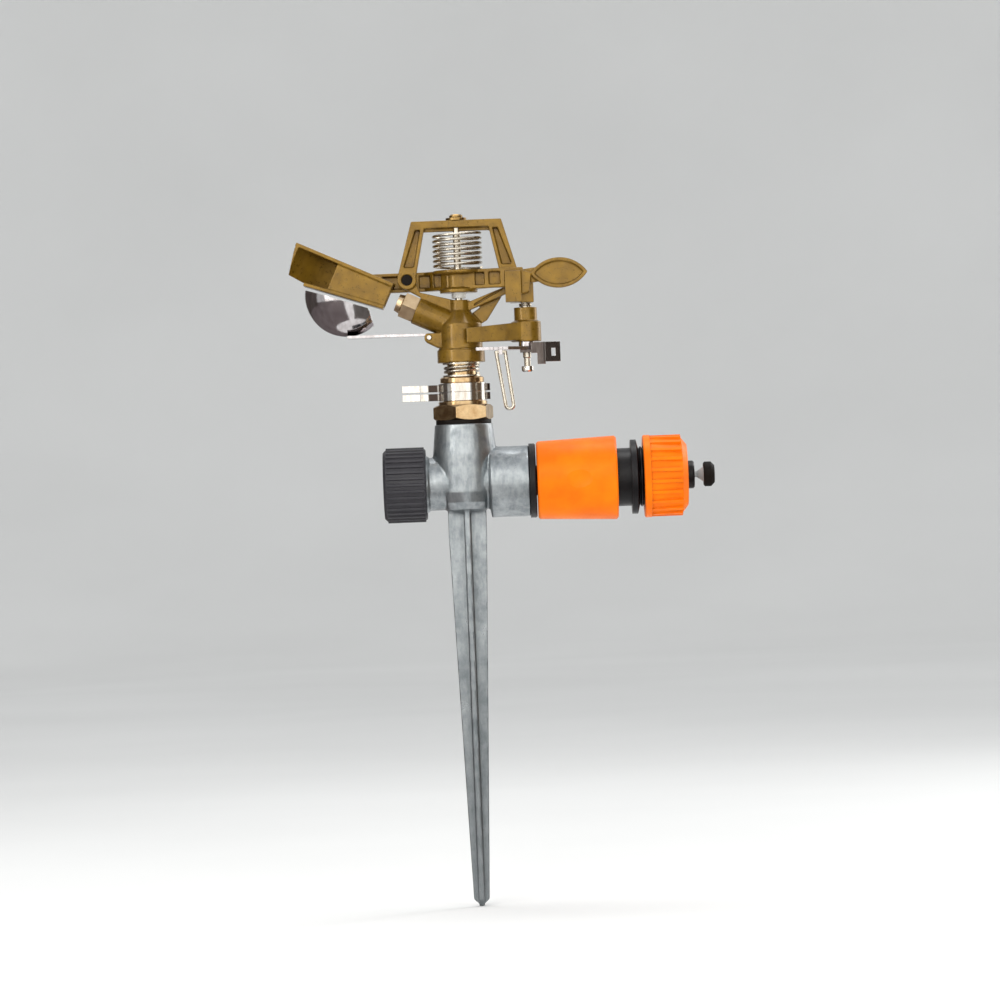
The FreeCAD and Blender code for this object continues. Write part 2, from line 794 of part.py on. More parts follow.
def make_webs():
    """The web over the jet tube up to the left leg, and the ribbed strut to the right block."""
    left = plate("XZ_Plane", [
        ("0", "jet_height + 4"),
        ("0", "pin_boss_top"),
        ("-2", "pin_boss_top"),
        ("-bridge_half_opening_low + 1.4", "buffer_height - 5.6"),
        ("-bridge_half_opening_low", "buffer_height - 2"),
        ("-buffer_reach - 1.8", "buffer_height - 2"),
        ("-buffer_reach - 1.8", "buffer_height - 3.5"),
        ("-jet_tube_length * cos(jet_angle) + 2.1", "jet_height + 14.7"),
        ("-jet_tube_length * cos(jet_angle) + 4.3", "jet_height + 9"),
    ], "-web_half_depth", "web_half_depth")
    strut = plate("XZ_Plane", [
        ("1", "pin_boss_top - 6.2"),
        ("block_left + 1", "block_low + 5.2"),
        ("block_left + 1", "block_low + 8.6"),
        ("1", "pin_boss_top - 2.2"),
    ], "-web_half_depth", "web_half_depth")
    lower_web = plate("XZ_Plane", [
        ("6", "barrel_top - 2"),
        ("barrel_radius + 2.4", "barrel_top + 1.4"),
        ("block_left - 2.2", "block_low + 5.6"),
        ("block_left - 6", "block_low + 4"),
        ("6", "barrel_top + 5"),
    ], "0.6", "web_half_depth + 2")
    block = plate("XZ_Plane", [
        ("block_left", "block_low"),
        ("block_right", "block_low"),
        ("block_right", "block_top - 2.5"),
        ("block_right - 2.5", "block_top"),
        ("bridge_half_opening_low", "block_top"),
        ("bridge_half_opening_low", "block_top - 5"),
        ("block_left", "block_low + 4"),
    ], "-bridge_half_depth", "bridge_half_depth")
    return fuse(left, strut, lower_web, block)


def make_strut_grooves():
    """A long groove in each face of the strut, which leaves it as two rails."""
    corners = [
        ("6.5", "pin_boss_top - 3.0"),
        ("block_left - 3.4", "block_low + 6.2"),
        ("block_left - 3.4", "block_low + 7.0"),
        ("6.5", "pin_boss_top - 2.2"),
    ]
    near = plate("XZ_Plane", corners, "-web_half_depth - 1", "-web_half_depth + 0.9")
    far = plate("XZ_Plane", corners, "web_half_depth - 0.9", "web_half_depth + 1")
    return near, far


def make_hinge_ears():
    """Two ears on the barrel's left, which hold the deflector's pin."""
    corners = [
        ("-barrel_radius + 3", "deflector_hinge_height - 4.6"),
        ("-barrel_radius - 0.4", "deflector_hinge_height - 4.6"),
        ("-deflector_hinge_reach - 1.2", "deflector_hinge_height - 2"),
        ("-deflector_hinge_reach - 2", "deflector_hinge_height - 1"),
        ("-deflector_hinge_reach - 2", "deflector_hinge_height + 0.9"),
        ("-deflector_hinge_reach - 1", "deflector_hinge_height + 1.9"),
        ("-barrel_radius + 3", "deflector_hinge_height + 1.9"),
    ]
    inner = "deflector_knuckle_half + 0.3"
    front = plate("XZ_Plane", corners, "-deflector_ear_outer", f"-({inner})")
    back = plate("XZ_Plane", corners, inner, "deflector_ear_outer")
    return fuse(front, back)


def make_head_casting():
    jet_tube = rod("jet_tube_radius", "0", "jet_tube_length", **JET)
    at_buffer = {"x": "-buffer_reach", "z": "buffer_height", **BACKWARD}
    at_hinge = {"x": "-deflector_hinge_reach", "z": "deflector_hinge_height", **BACKWARD}
    ear = "deflector_ear_outer"
    boss = rod("buffer_boss_radius", "-bridge_half_depth", "bridge_half_depth", **at_buffer)
    solid = fuse(make_barrel(), jet_tube, make_bridge(), make_webs(), boss, make_hinge_ears())
    bores = [
        turned([
            ("0", "head_low - 1"),
            ("inner_tube_radius + fit_gap", "head_low - 1"),
            ("inner_tube_radius + fit_gap", "inner_tube_top"),
            ("inner_tube_bore_radius", "inner_tube_top"),
            ("inner_tube_bore_radius", "jet_height"),
            ("0", "jet_height"),
        ]),
        turned([
            ("0", "0"),
            ("jet_tube_bore_radius", "0"),
            ("jet_tube_bore_radius", "jet_tube_length - 6"),
            ("nozzle_thread_radius + fit_gap", "jet_tube_length - 6"),
            ("nozzle_thread_radius + fit_gap", "jet_tube_length + 1"),
            ("0", "jet_tube_length + 1"),
        ], **JET),
        rod("pin_radius + fit_gap", "pin_low", "bridge_top + 1"),
        rod("trip_pin_radius + fit_gap", "block_low - 1", "trip_pin_top", x="trip_reach"),
        rod("buffer_radius", "-bridge_half_depth - 1", "bridge_half_depth + 1", **at_buffer),
        rod("deflector_pin_radius + fit_gap", f"-{ear} - 1", f"{ear} + 1", **at_hinge),
    ]
    subpart("head_casting", cut(solid, *bores, *make_strut_grooves()))


def make_nozzle():
    """A hexagonal nozzle, screwed into the end of the jet tube."""
    seat = "jet_tube_length + fit_gap"
    hex_end = f"{seat} + nozzle_hex_length"
    prism = plate("XY_Plane", hexagon("nozzle_across_flats", "30"), seat, hex_end, **JET)
    body = turned([
        ("0", "jet_tube_length - 5.6"),
        ("nozzle_thread_radius", "jet_tube_length - 5.6"),
        ("nozzle_thread_radius", f"{hex_end} - 1"),
        ("nozzle_tip_radius + 0.9", hex_end),
        ("nozzle_tip_radius", f"{hex_end} + 0.5"),
        ("nozzle_tip_radius - 0.4", "jet_tube_length + nozzle_length"),
        ("0", "jet_tube_length + nozzle_length"),
    ], **JET)
    bore = turned([
        ("0", "jet_tube_length - 7"),
        ("jet_tube_bore_radius", "jet_tube_length - 7"),
        ("jet_tube_bore_radius", "jet_tube_length - 3"),
        ("nozzle_orifice_radius", hex_end),
        ("nozzle_orifice_radius", "jet_tube_length + nozzle_length + 1"),
        ("0", "jet_tube_length + nozzle_length + 1"),
    ], **JET)
    subpart("nozzle", cut(fuse(prism, body), bore))


def make_fulcrum():
    """The pin that the arm turns on, its cap, and the torsion spring round it."""
    subpart("fulcrum_pin", rod("pin_radius", "pin_low + 0.2", "pin_cap_top - 1.4"))
    subpart("pin_cap", turned([
        ("0", "pin_cap_top - 1.35"),
        ("pin_radius + fit_gap", "pin_cap_top - 1.35"),
        ("pin_radius + fit_gap", "bridge_top"),
        ("pin_cap_radius", "bridge_top"),
        ("pin_cap_radius", "bridge_top + 1.1"),
        ("pin_cap_radius - 1.6", "bridge_top + 1.3"),
        ("pin_cap_radius - 1.6", "pin_cap_top - 0.6"),
        ("pin_cap_radius - 2.3", "pin_cap_top"),
        ("0", "pin_cap_top"),
    ]))
    subpart("arm_spring", coil(
        "arm_spring_radius",
        "arm_spring_wire_radius",
        "arm_spring_high - arm_spring_low",
        "arm_spring_turns",
        z="arm_spring_low",
    ))
    subpart("arm_buffer", turned([
        ("0", "-bridge_half_depth + 0.6"),
        ("buffer_radius", "-bridge_half_depth + 0.6"),
        ("buffer_radius", "bridge_half_depth"),
        ("buffer_radius - 0.5", "arm_front - 0.15"),
        ("0", "arm_front - 0.15"),
    ], x="-buffer_reach", z="buffer_height", **BACKWARD))


# ---- drive arm ----------------------------------------------------------------------------------


def make_arm_beam():
    """The arm's beam, which passes behind the bridge's left leg and in front of its right leg."""
    left = plate("XY_Plane", [
        ("-arm_reach", "arm_front"),
        ("-arm_turn_back", "arm_front"),
        ("-hub_radius + 1.2", "-hub_radius + 2"),
        ("0", "-hub_radius + 1"),
        ("0", "hub_radius - 1"),
        ("-hub_radius + 0.2", "hub_radius + 0.6"),
        ("-arm_turn_back + 1", "arm_back"),
        ("-arm_reach", "arm_back"),
    ], "arm_low", "arm_top")
    right = plate("XY_Plane", [
        ("0", "hub_radius - 1"),
        ("0", "-hub_radius + 1"),
        ("arm_turn_front", "-arm_neck_front + 2"),
        ("weight_left", "-arm_neck_front"),
        ("weight_right + 1", "-arm_neck_front"),
        ("weight_right + 1", "-arm_neck_back"),
        ("arm_turn_front + 1.4", "-arm_neck_back"),
        ("arm_turn_front + 0.4", "-1.5"),
        ("hub_radius + 1.8", "3.5"),
    ], "arm_low", "arm_top")
    hub = turned([
        ("0", "hub_low"),
        ("hub_radius + 2.2", "hub_low"),
        ("hub_radius + 2.2", "arm_low + 0.2"),
        ("hub_radius", "arm_low + 0.8"),
        ("hub_radius", "arm_top - arm_flange - 0.4"),
        ("hub_seat_radius", "arm_top - arm_flange + 0.2"),
        ("hub_seat_radius", "arm_top"),
        ("0", "arm_top"),
    ])
    solid = fuse(left, right, hub)
    lows = ("arm_low + arm_flange", "arm_top - arm_flange")
    pockets = [
        box(("-17.6", "-12.4"), ("0", "arm_back - 2.6"), lows),
        box(("-11", "-7.6"), ("-6", "3.4"), lows),
        box(("-arm_reach + 8", "-20"), ("0", "arm_back - 2.4"), lows),
        box(("7.4", "11.6"), ("-arm_neck_front", "-3.4"), lows),
        box(("13.6", "18.6"), ("-arm_neck_front - 1", "-arm_neck_back - 1.8"), lows),
    ]
    return cut(solid, *pockets)


def make_weight():
    return plate("XZ_Plane", [
        ("weight_left", "weight_low"),
        ("weight_right", "weight_low"),
        ("weight_right", "weight_top"),
        ("weight_left", "weight_top"),
    ], "-weight_front", "-arm_neck_back")


def make_leaf():
    """The pointed oval finger plate at the arm's right end, with a raised rim."""

    def oval(radius, front, back):
        halves = []
        for side in ("-", "+"):
            height = f"leaf_height {side} leaf_arc_drop"
            halves.append(rod(radius, front, back, x="leaf_centre", z=height, **BACKWARD))
        return common(*halves)

    blade = oval("leaf_arc_radius", "-leaf_front", "-leaf_back")
    hollow = oval("leaf_arc_radius - leaf_rim", "-leaf_front - 1", "-leaf_front + leaf_recess")
    neck = plate("XZ_Plane", [
        ("weight_right - 1", "arm_low + 0.8"),
        ("leaf_centre - 8.5", "leaf_height - 3.6"),
        ("leaf_centre - 8.5", "leaf_height + 3.0"),
        ("weight_right - 1", "arm_top - 1.2"),
    ], "-leaf_front + leaf_recess", "-leaf_back")
    shoulder = plate("XZ_Plane", [
        ("weight_right - 1", "weight_low + 3"),
        ("weight_right + 3.6", "weight_low + 4.4"),
        ("weight_right + 4.6", "weight_top - 1"),
        ("weight_right - 1", "weight_top + 0.6"),
    ], "-arm_neck_front", "-arm_neck_back")
    return fuse(cut(blade, hollow), neck, shoulder)


def spoon_floor_at(along):
    """How far the spoon's sloping floor is below the jet's axis."""
    share = f"(({along}) - spoon_start) / (spoon_floor_end - spoon_start)"
    return f"(spoon_mouth_floor + (spoon_floor - spoon_mouth_floor) * {share})"


def make_spoon():
    """The open channel that catches the jet; its far wall curves across at the outer end."""
    half = "spoon_half_width"
    roof = box(
        ("spoon_roof", "spoon_roof + spoon_plate"),
        (f"-{half}", half),
        ("spoon_start", "spoon_roof_end"),
        **JET,
    )
    floor = plate("XZ_Plane", [
        ("-spoon_mouth_floor", "spoon_start"),
        ("-spoon_floor", "spoon_floor_end"),
        ("-spoon_floor - spoon_plate", "spoon_floor_end"),
        ("-spoon_mouth_floor - spoon_plate", "spoon_start"),
    ], f"-{half}", half, **JET)
    bend_start = "spoon_near_end - 1"

    def wall(end, near, far):
        return plate("XZ_Plane", [
            ("-spoon_mouth_floor - 0.2", "spoon_start"),
            ("spoon_roof + 0.2", "spoon_start"),
            ("spoon_roof + 0.2", end),
            (f"-{spoon_floor_at(end)} - 0.2", end),
        ], near, far, **JET)

    near_wall = wall("spoon_near_end", f"-{half} + 0.4", f"-{half} + 0.4 + spoon_wall")
    far_wall = wall(bend_start, f"{half} - spoon_wall", half)
    bend_centre = f"({half} - spoon_bend_radius)"
    bend = plate("XZ_Plane", [
        (f"-{spoon_floor_at(bend_start)} - 0.2", bend_start),
        ("spoon_roof + 0.2", bend_start),
        ("spoon_roof + 0.2", "spoon_roof_end"),
        ("-spoon_floor + 0.4", "spoon_tip_low"),
        ("-spoon_floor - 0.2", "spoon_floor_end"),
    ], f"-{half}", half, **JET)
    ring = plate_ring(bend_centre, bend_start)
    return fuse(roof, floor, near_wall, far_wall, common(bend, ring))


def plate_ring(across, along):
    """A ring standing on the plane that holds the jet and the Y axis, for the spoon's bent wall."""
    body = doc.addObject("PartDesign::Body", "Ring")

    def draw(sketch):
        draw_circle(sketch, across, along, "spoon_bend_radius")
        draw_circle(sketch, across, along, "spoon_bend_radius - spoon_wall")

    pad_between(body, "YZ_Plane", draw, "-spoon_floor - 0.2", "spoon_roof + 0.2")
    return place(body, **JET)


def make_drive_arm():
    bore = rod("bushing_radius + fit_gap", "hub_low - 1", "arm_top + 1")
    solid = fuse(make_arm_beam(), make_weight(), make_leaf(), make_spoon())
    subpart("drive_arm", cut(solid, bore))
    bushing = tube("bushing_bore_radius", "bushing_radius", "bushing_low", "bushing_top - 0.3")
    subpart("arm_bushing", bushing)


# ---- deflector ----------------------------------------------------------------------------------


def oval_ball(radius, half_width):
    """The deflector bowl's full form, round from the front and narrower from front to back."""
    form = doc.addObject("Part::Ellipsoid", "Bowl")
    bind(form, Radius1=radius, Radius2=radius, Radius3=half_width)
    return place(form, x="-bowl_reach", z="bowl_height")


def make_deflector():
    """A sheet tongue from the hinge to an oval bowl under the jet, whose rim runs along the spoon's floor."""
    hinge = {"x": "-deflector_hinge_reach", "z": "deflector_hinge_height", **BACKWARD}
    knuckle = rod("deflector_knuckle_radius", "-deflector_knuckle_half", "deflector_knuckle_half", **hinge)
    sheet_top = "deflector_hinge_height + deflector_knuckle_radius"
    tongue = plate("XY_Plane", [
        ("-deflector_hinge_reach", "-deflector_knuckle_half"),
        ("-deflector_hinge_reach", "deflector_knuckle_half"),
        ("-tongue_narrow_end", "deflector_knuckle_half"),
        ("-tongue_wide_start", "tongue_half_width"),
        ("-bowl_reach", "tongue_half_width"),
        ("-bowl_reach", "-tongue_half_width"),
        ("-tongue_wide_start", "-tongue_half_width"),
        ("-tongue_narrow_end", "-deflector_knuckle_half"),
    ], f"{sheet_top} - deflector_sheet", sheet_top)
    outer = oval_ball("bowl_radius", "bowl_half_width")
    inner = oval_ball("bowl_radius - deflector_sheet", "bowl_half_width - deflector_sheet")

    def rim(along):
        return (f"-{spoon_floor_at(along)} - spoon_plate - bowl_clearance", along)

    slice_of_bowl = plate("XZ_Plane", [
        rim("bowl_right"),
        rim("bowl_left"),
        ("-bowl_under", "bowl_left"),
        ("-bowl_under", "bowl_under_start"),
    ], "-bowl_half_width - 1", "bowl_half_width + 1", **JET)
    bowl = common(cut(outer, inner), slice_of_bowl)
    pin_hole = rod("deflector_pin_radius + 0.06", "-deflector_ear_outer", "deflector_ear_outer", **hinge)
    subpart("deflector", cut(fuse(knuckle, tongue, bowl), pin_hole))
    pin = rod("deflector_pin_radius", "-deflector_ear_outer - 0.7", "deflector_ear_outer + 0.7", **hinge)
    subpart("deflector_pin", pin)


# ---- trip mechanism -----------------------------------------------------------------------------


def make_trip_pin():
    """The pin that the trip hammer turns on, with a turned cap at its foot and a spring on top."""
    at_pin = {"x": "trip_reach"}
    subpart("trip_pin", turned([
        ("0", "trip_pin_low + 0.9"),
        ("trip_shank_radius", "trip_pin_low + 0.9"),
        ("trip_shank_radius", "bracket_low + 3"),
        ("trip_pin_radius", "bracket_low + 3.4"),
        ("trip_pin_radius", "trip_pin_top - 0.1"),
        ("0", "trip_pin_top - 0.1"),
    ], **at_pin))
    subpart("trip_pin_cap", turned([
        ("0", "trip_pin_low - 0.6"),
        ("trip_cap_radius - 0.65", "trip_pin_low - 0.6"),
        ("trip_cap_radius", "trip_pin_low"),
        ("trip_cap_radius", "trip_pin_low + 1.9"),
        ("trip_shank_radius + fit_gap", "trip_pin_low + 1.9"),
        ("trip_shank_radius + fit_gap", "trip_pin_low + 0.85"),
        ("0", "trip_pin_low + 0.85"),
    ], **at_pin))
    wire = "trip_spring_wire_radius"
    middle = f"trip_pin_radius + {wire} + 0.3"
    low = f"hammer_top + {wire} + 0.1"
    high = f"block_low - {wire} - 0.1"
    spring = coil(middle, wire, f"{high} - ({low})", "2", x="trip_reach", z=low)
    subpart("trip_spring", spring)


def make_trip_hammer():
    """The hammer that blocks the arm on the return stroke."""
    boss = turned([
        ("0", "hammer_low"),
        ("hammer_boss_radius", "hammer_low"),
        ("hammer_boss_radius", "hammer_shoulder"),
        ("hammer_neck_radius", "hammer_shoulder + 0.6"),
        ("hammer_neck_radius", "hammer_top"),
        ("0", "hammer_top"),
    ], x="trip_reach")
    plan = plate("XY_Plane", [
        ("hammer_left", "-hammer_front"),
        ("hammer_left", "-hammer_front + hammer_thickness"),
        ("hammer_bend", "-hammer_bend_back"),
        ("trip_reach - 2", "hammer_boss_radius - 0.8"),
        ("trip_reach", "0"),
        ("trip_reach - 2", "-hammer_boss_radius + 0.3"),
        ("hammer_bend + 6", "-hammer_bend_back - 2"),
    ], "hammer_low", "hammer_shoulder")
    side = plate("XZ_Plane", [
        ("hammer_left", "hammer_low"),
        ("trip_reach", "hammer_low + 0.6"),
        ("trip_reach", "hammer_shoulder"),
        ("hammer_left", "hammer_end_height"),
    ], "-hammer_front - 1", "hammer_boss_radius")
    bore = rod("trip_pin_radius + 0.08", "hammer_low - 1", "hammer_top + 1", x="trip_reach")
    subpart("trip_hammer", cut(fuse(boss, common(plan, side)), bore))


def make_trip_plate():
    """The sheet lever under the hammer, with two lugs in front for the trip wire."""
    top = "trip_plate_low + trip_plate"
    sheet_body = plate("XY_Plane", [
        ("trip_plate_left", "-trip_plate_front"),
        ("trip_plate_left", "-trip_plate_front + 2.4"),
        ("hammer_bend", "-trip_plate_front + 5"),
        ("trip_reach - 3", "4"),
        ("trip_reach + 2.6", "3.4"),
        ("trip_reach + 2.4", "-4"),
        ("trip_reach + 1.4", "-4.6"),
        ("hammer_bend + 6", "-trip_plate_front + 0.2"),
    ], "trip_plate_low", top)
    spacer = rod("trip_pin_radius + 1.8", top, "hammer_low", x="trip_reach")
    wire_right = "wire_left + wire_gap"
    lug = box(
        ("wire_left + wire_radius + 0.3", f"{wire_right} - wire_radius - 0.3"),
        ("-wire_front - 1.6", "-wire_front + 1.6"),
        ("wire_top - 1.2", "trip_plate_low + 0.2"),
    )
    bore = rod("trip_pin_radius + 0.08", "trip_plate_low - 1", "hammer_low + 1", x="trip_reach")
    lug_hole = rod("wire_radius + 0.08", "wire_left", wire_right, y="-wire_front", z="wire_top",
                   axis=(0, 1, 0), turn="90")
    notches = [
        box((f"{leg} - wire_slot", f"{leg} + wire_slot"),
            ("-wire_front - 3", "-wire_front + wire_slot + 0.2"),
            ("wire_top - 1.5", f"{top} + 1"))
        for leg in ("wire_left", wire_right)
    ]
    subpart("trip_plate", cut(fuse(sheet_body, spacer, lug), bore, lug_hole, *notches))


def make_trip_bracket():
    """The folded sheet bracket beside the trip pin, with a slot in its outer leaf."""
    flange_top = "trip_plate_low - fit_gap"
    flange = box(
        ("trip_reach - 3", "bracket_fold"),
        ("-bracket_front + 1", "3"),
        (f"{flange_top} - bracket_sheet", flange_top),
    )
    thickness = ("-bracket_front", "-bracket_front + bracket_sheet")
    inner_leaf = box(("bracket_left + 2.6", "bracket_fold"), thickness, ("bracket_low", "bracket_top"))
    tail = box(("bracket_left", "bracket_left + 2.8"), thickness, ("bracket_low + 5", "bracket_top"))
    outer_leaf = plate("XY_Plane", [
        ("bracket_fold - 1", "-bracket_front"),
        ("bracket_fold", "-bracket_front - 0.6"),
        ("bracket_right", "-bracket_front + 2"),
        ("bracket_right", "-bracket_front + 2 + bracket_sheet"),
        ("bracket_fold - 0.2", "-bracket_front - 0.6 + bracket_sheet"),
        ("bracket_fold - 1", "-bracket_front + bracket_sheet"),
    ], "bracket_low + 1", "bracket_top")
    slot_height = ("bracket_low + 3.5", "bracket_low + 7")
    slot = box(("bracket_right - 4", "bracket_right - 2.2"), ("-8", "0"), slot_height)
    bore = rod("trip_pin_radius + 0.08", "bracket_low", "bracket_top", x="trip_reach")
    subpart("trip_bracket", cut(fuse(flange, inner_leaf, tail, outer_leaf), slot, bore))


def make_trip_wire():
    """The U of wire that meets the stop collars' ears. It folds up for a full circle."""
    left = number("wire_left")
    gap = number("wire_gap")
    lean = number("wire_lean")
    front = -number("wire_front")
    drop = number("wire_bottom - wire_top")
    left_top = Vector(left, front, number("wire_top"))
    right_top = left_top + Vector(gap, 0, 0)
    left_way = Vector(lean, 0, drop).normalize()
    right_way = Vector(lean * number("wire_right_lean"), 0, drop).normalize()
    # the legs' lines meet at a point below, and the bend's centre is as far from both of them
    between = left_way.getAngle(right_way)
    reach = gap * sin(Vector(-1, 0, 0).getAngle(right_way)) / sin(between)
    meeting = left_top + left_way * reach
    middle_way = (left_way + right_way).normalize()
    centre = meeting - middle_way * ((meeting.z - number("wire_bottom")) / middle_way.z)
    left_end = left_top + left_way * (centre - left_top).dot(left_way)
    right_end = right_top + right_way * (centre - right_top).dot(right_way)
    bend = doc.addObject("Part::Torus", "Bend")
    bend_angle = 180 - degrees(between)
    bind(bend, Radius1=str((left_end - centre).Length), Radius2="wire_radius", Angle3=str(bend_angle))
    outward = (left_end - centre).normalize()
    towards = Vector(0, -1, 0)
    bend.Placement = Placement(centre, Rotation(outward, towards.cross(outward), towards, "ZXY"))
    subpart("trip_wire", fuse(
        bar("wire_radius", left_top, left_end),
        bar("wire_radius", right_top, right_end),
        bend,
        bar("wire_radius", left_top, right_top),
        ball("wire_radius", left_top),
        ball("wire_radius", right_top),
    ))


# ---- hose adapter and coupler -------------------------------------------------------------------


def make_hose_adapter():
    corners = [("spigot_bore_radius", "adapter_thread_start")]
    corners += thread_crests("pipe_thread_radius", "adapter_thread_start", 6)
    corners += [
        ("pipe_thread_radius - thread_depth", "inlet_end + fit_gap"),
        ("adapter_flange_radius", "inlet_end + fit_gap"),
        ("adapter_flange_radius", "adapter_flange_end - 0.5"),
        ("adapter_flange_radius - 0.5", "adapter_flange_end"),
        ("spigot_neck_radius", "adapter_flange_end"),
        ("spigot_neck_radius", "spigot_collar_start"),
        ("spigot_collar_radius", "spigot_collar_start"),
        ("spigot_collar_radius", "spigot_collar_end"),
        ("spigot_nose_radius", "spigot_collar_end + 2.4"),
        ("spigot_nose_radius", "o_ring_reach - o_ring_wire_radius - 0.1"),
        ("o_ring_mean_radius - o_ring_wire_radius - 0.05", "o_ring_reach - o_ring_wire_radius - 0.1"),
        ("o_ring_mean_radius - o_ring_wire_radius - 0.05", "o_ring_reach + o_ring_wire_radius + 0.1"),
        ("spigot_nose_radius", "o_ring_reach + o_ring_wire_radius + 0.1"),
        ("spigot_nose_radius", "spigot_end - 1.5"),
        ("spigot_nose_radius - 1", "spigot_end"),
        ("spigot_bore_radius", "spigot_end"),
    ]
    shell = turned(corners, **EAST)
    pusher = rod("spigot_pusher_radius", "spigot_end - 4", "spigot_end", **EAST)
    thin = ("-spigot_bar / 2", "spigot_bar / 2")
    wide = ("-spigot_bore_radius - 0.4", "spigot_bore_radius + 0.4")
    along = ("spigot_end - 4", "spigot_end - 0.5")
    bars = (box(thin, wide, along, **EAST), box(wide, thin, along, **EAST))
    subpart("hose_adapter", fuse(shell, pusher, *bars))
    seat = "inlet_socket_start"
    gasket = tube("waterway_radius + 1", "pipe_thread_radius - 0.3", seat, "adapter_thread_start", **EAST)
    subpart("adapter_gasket", gasket)
    ring = doc.addObject("Part::Torus", "Ring")
    bind(ring, Radius1="o_ring_mean_radius", Radius2="o_ring_wire_radius")
    place(ring, x="o_ring_reach", **EAST)
    subpart("spigot_o_ring", ring)


def make_coupler_body():
    corners = [
        ("coupler_bore_radius", "coupler_start"),
        ("coupler_front_radius - 1", "coupler_start"),
        ("coupler_front_radius", "coupler_start + 1"),
        ("coupler_front_radius", "coupler_shoulder_start"),
        ("coupler_shoulder_radius", "coupler_shoulder_start"),
        ("coupler_shoulder_radius", "coupler_shoulder_end"),
        ("coupler_front_radius", "coupler_shoulder_end"),
        ("coupler_waist_radius", "coupler_waist_start"),
        ("coupler_waist_radius", "coupler_flange_start"),
        ("coupler_flange_radius", "coupler_flange_start"),
        ("coupler_flange_radius", "coupler_flange_end"),
    ]
    corners += thread_crests("coupler_thread_radius", "coupler_flange_end + 1", 7)
    corners += [
        ("coupler_thread_radius - thread_depth", "coupler_thread_end"),
        ("coupler_thread_bore_radius", "coupler_thread_end"),
        ("coupler_thread_bore_radius", "coupler_flange_end"),
        ("barb_radius", "coupler_flange_end"),
    ]
    for ridge in range(3):
        low = f"coupler_flange_end + 2 + {ridge} * 4.4"
        corners.append(("barb_radius", f"{low} + 1.2"))
        corners.append(("barb_ridge_radius", f"{low} + 1.2"))
        corners.append(("barb_radius", f"{low} + 4.2"))
    corners += [
        ("barb_radius", "barb_end - 0.6"),
        ("barb_radius - 0.6", "barb_end"),
        ("barb_bore_radius", "barb_end"),
        ("barb_bore_radius", "valve_guide_end"),
        ("coupler_bore_radius", "valve_guide_end - 4"),
    ]
    shell = turned(corners, **EAST)
    windows = []
    reach = "coupler_front_radius + 1"
    half = "jaw_half_width + 0.1"
    along = ("jaw_start - 0.1", "jaw_end + 0.1")
    windows.append(box((f"-({reach})", reach), (f"-({half})", half), along, **EAST))
    windows.append(box((f"-({half})", half), (f"-({reach})", reach), along, **EAST))
    guide = ("valve_guide_start", "valve_guide_end")
    hub = tube("valve_stem_radius + 0.06", "valve_stem_radius + 1.2", *guide, **EAST)
    spokes = []
    for direction in range(3):
        spoke = box(("valve_stem_radius + 0.7", "coupler_bore_radius - 0.6"), ("-0.7", "0.7"), guide)
        spokes.append(turned_about_pipe(spoke, 120 * direction))
    subpart("coupler_body", fuse(cut(shell, *windows), hub, *spokes))


def turned_about_pipe(body, degrees):
    """Lays an upright body along the pipe, turned about the pipe's axis."""
    along = Rotation(Vector(0, 1, 0), 90)
    body.Placement = Placement(Vector(), along.multiply(Rotation(Vector(0, 0, 1), degrees)))
    body.setExpression("Placement.Base.z", bound("pipe_height"))
    return body


def make_jaws():
    """Four jaws in the coupler's windows, held in by the sleeve."""
    ring = tube("jaw_inner_radius", "coupler_front_radius", "jaw_start", "jaw_end", **EAST)
    half = "jaw_half_width"
    sides = []
    for quarter in range(4):
        reach = ("jaw_inner_radius / 2", "coupler_front_radius + 2")
        block = box(reach, (f"-{half}", half), ("jaw_start", "jaw_end"))
        sides.append(common(turned_about_pipe(block, 90 * quarter), ring))
    subpart("locking_jaws", doc_group(*sides))


def make_release_sleeve():
    """The sleeve that is pulled towards the hose to let the jaws open."""
    shell = turned([
        ("sleeve_bore_radius", "sleeve_start"),
        ("sleeve_front_radius - 0.8", "sleeve_start"),
        ("sleeve_front_radius", "sleeve_start + 0.8"),
        ("sleeve_rear_radius", "sleeve_end - 0.8"),
        ("sleeve_rear_radius - 0.8", "sleeve_end"),
        ("sleeve_pocket_radius", "sleeve_end"),
        ("sleeve_pocket_radius", "sleeve_pocket_start"),
        ("sleeve_bore_radius", "sleeve_pocket_start"),
    ], **EAST)
    hollows = []
    depth = "sleeve_front_radius + grip_hollow_radius - grip_hollow_depth + 0.6"
    for side in ("-", ""):
        hollow = bind(doc.addObject("Part::Sphere", "Hollow"), Radius="grip_hollow_radius")
        place(hollow, x="(sleeve_start + sleeve_end) / 2", y=f"{side}({depth})", z="pipe_height")
        hollows.append(hollow)
    subpart("release_sleeve", cut(shell, *hollows))
    first = "sleeve_pocket_start + sleeve_spring_wire_radius + 0.05"
    last = "coupler_shoulder_start - sleeve_spring_wire_radius - 0.05"
    wire = "sleeve_spring_wire_radius"
    spring = coil("sleeve_spring_radius", wire, f"{last} - ({first})", "5", x=first, **EAST)
    subpart("sleeve_spring", spring)
    lip = ("spigot_nose_radius + 0.35", "coupler_bore_radius - fit_gap")
    subpart("coupler_seal", tube(*lip, "spigot_end - 3.6", "spigot_end - 1.2", **EAST))


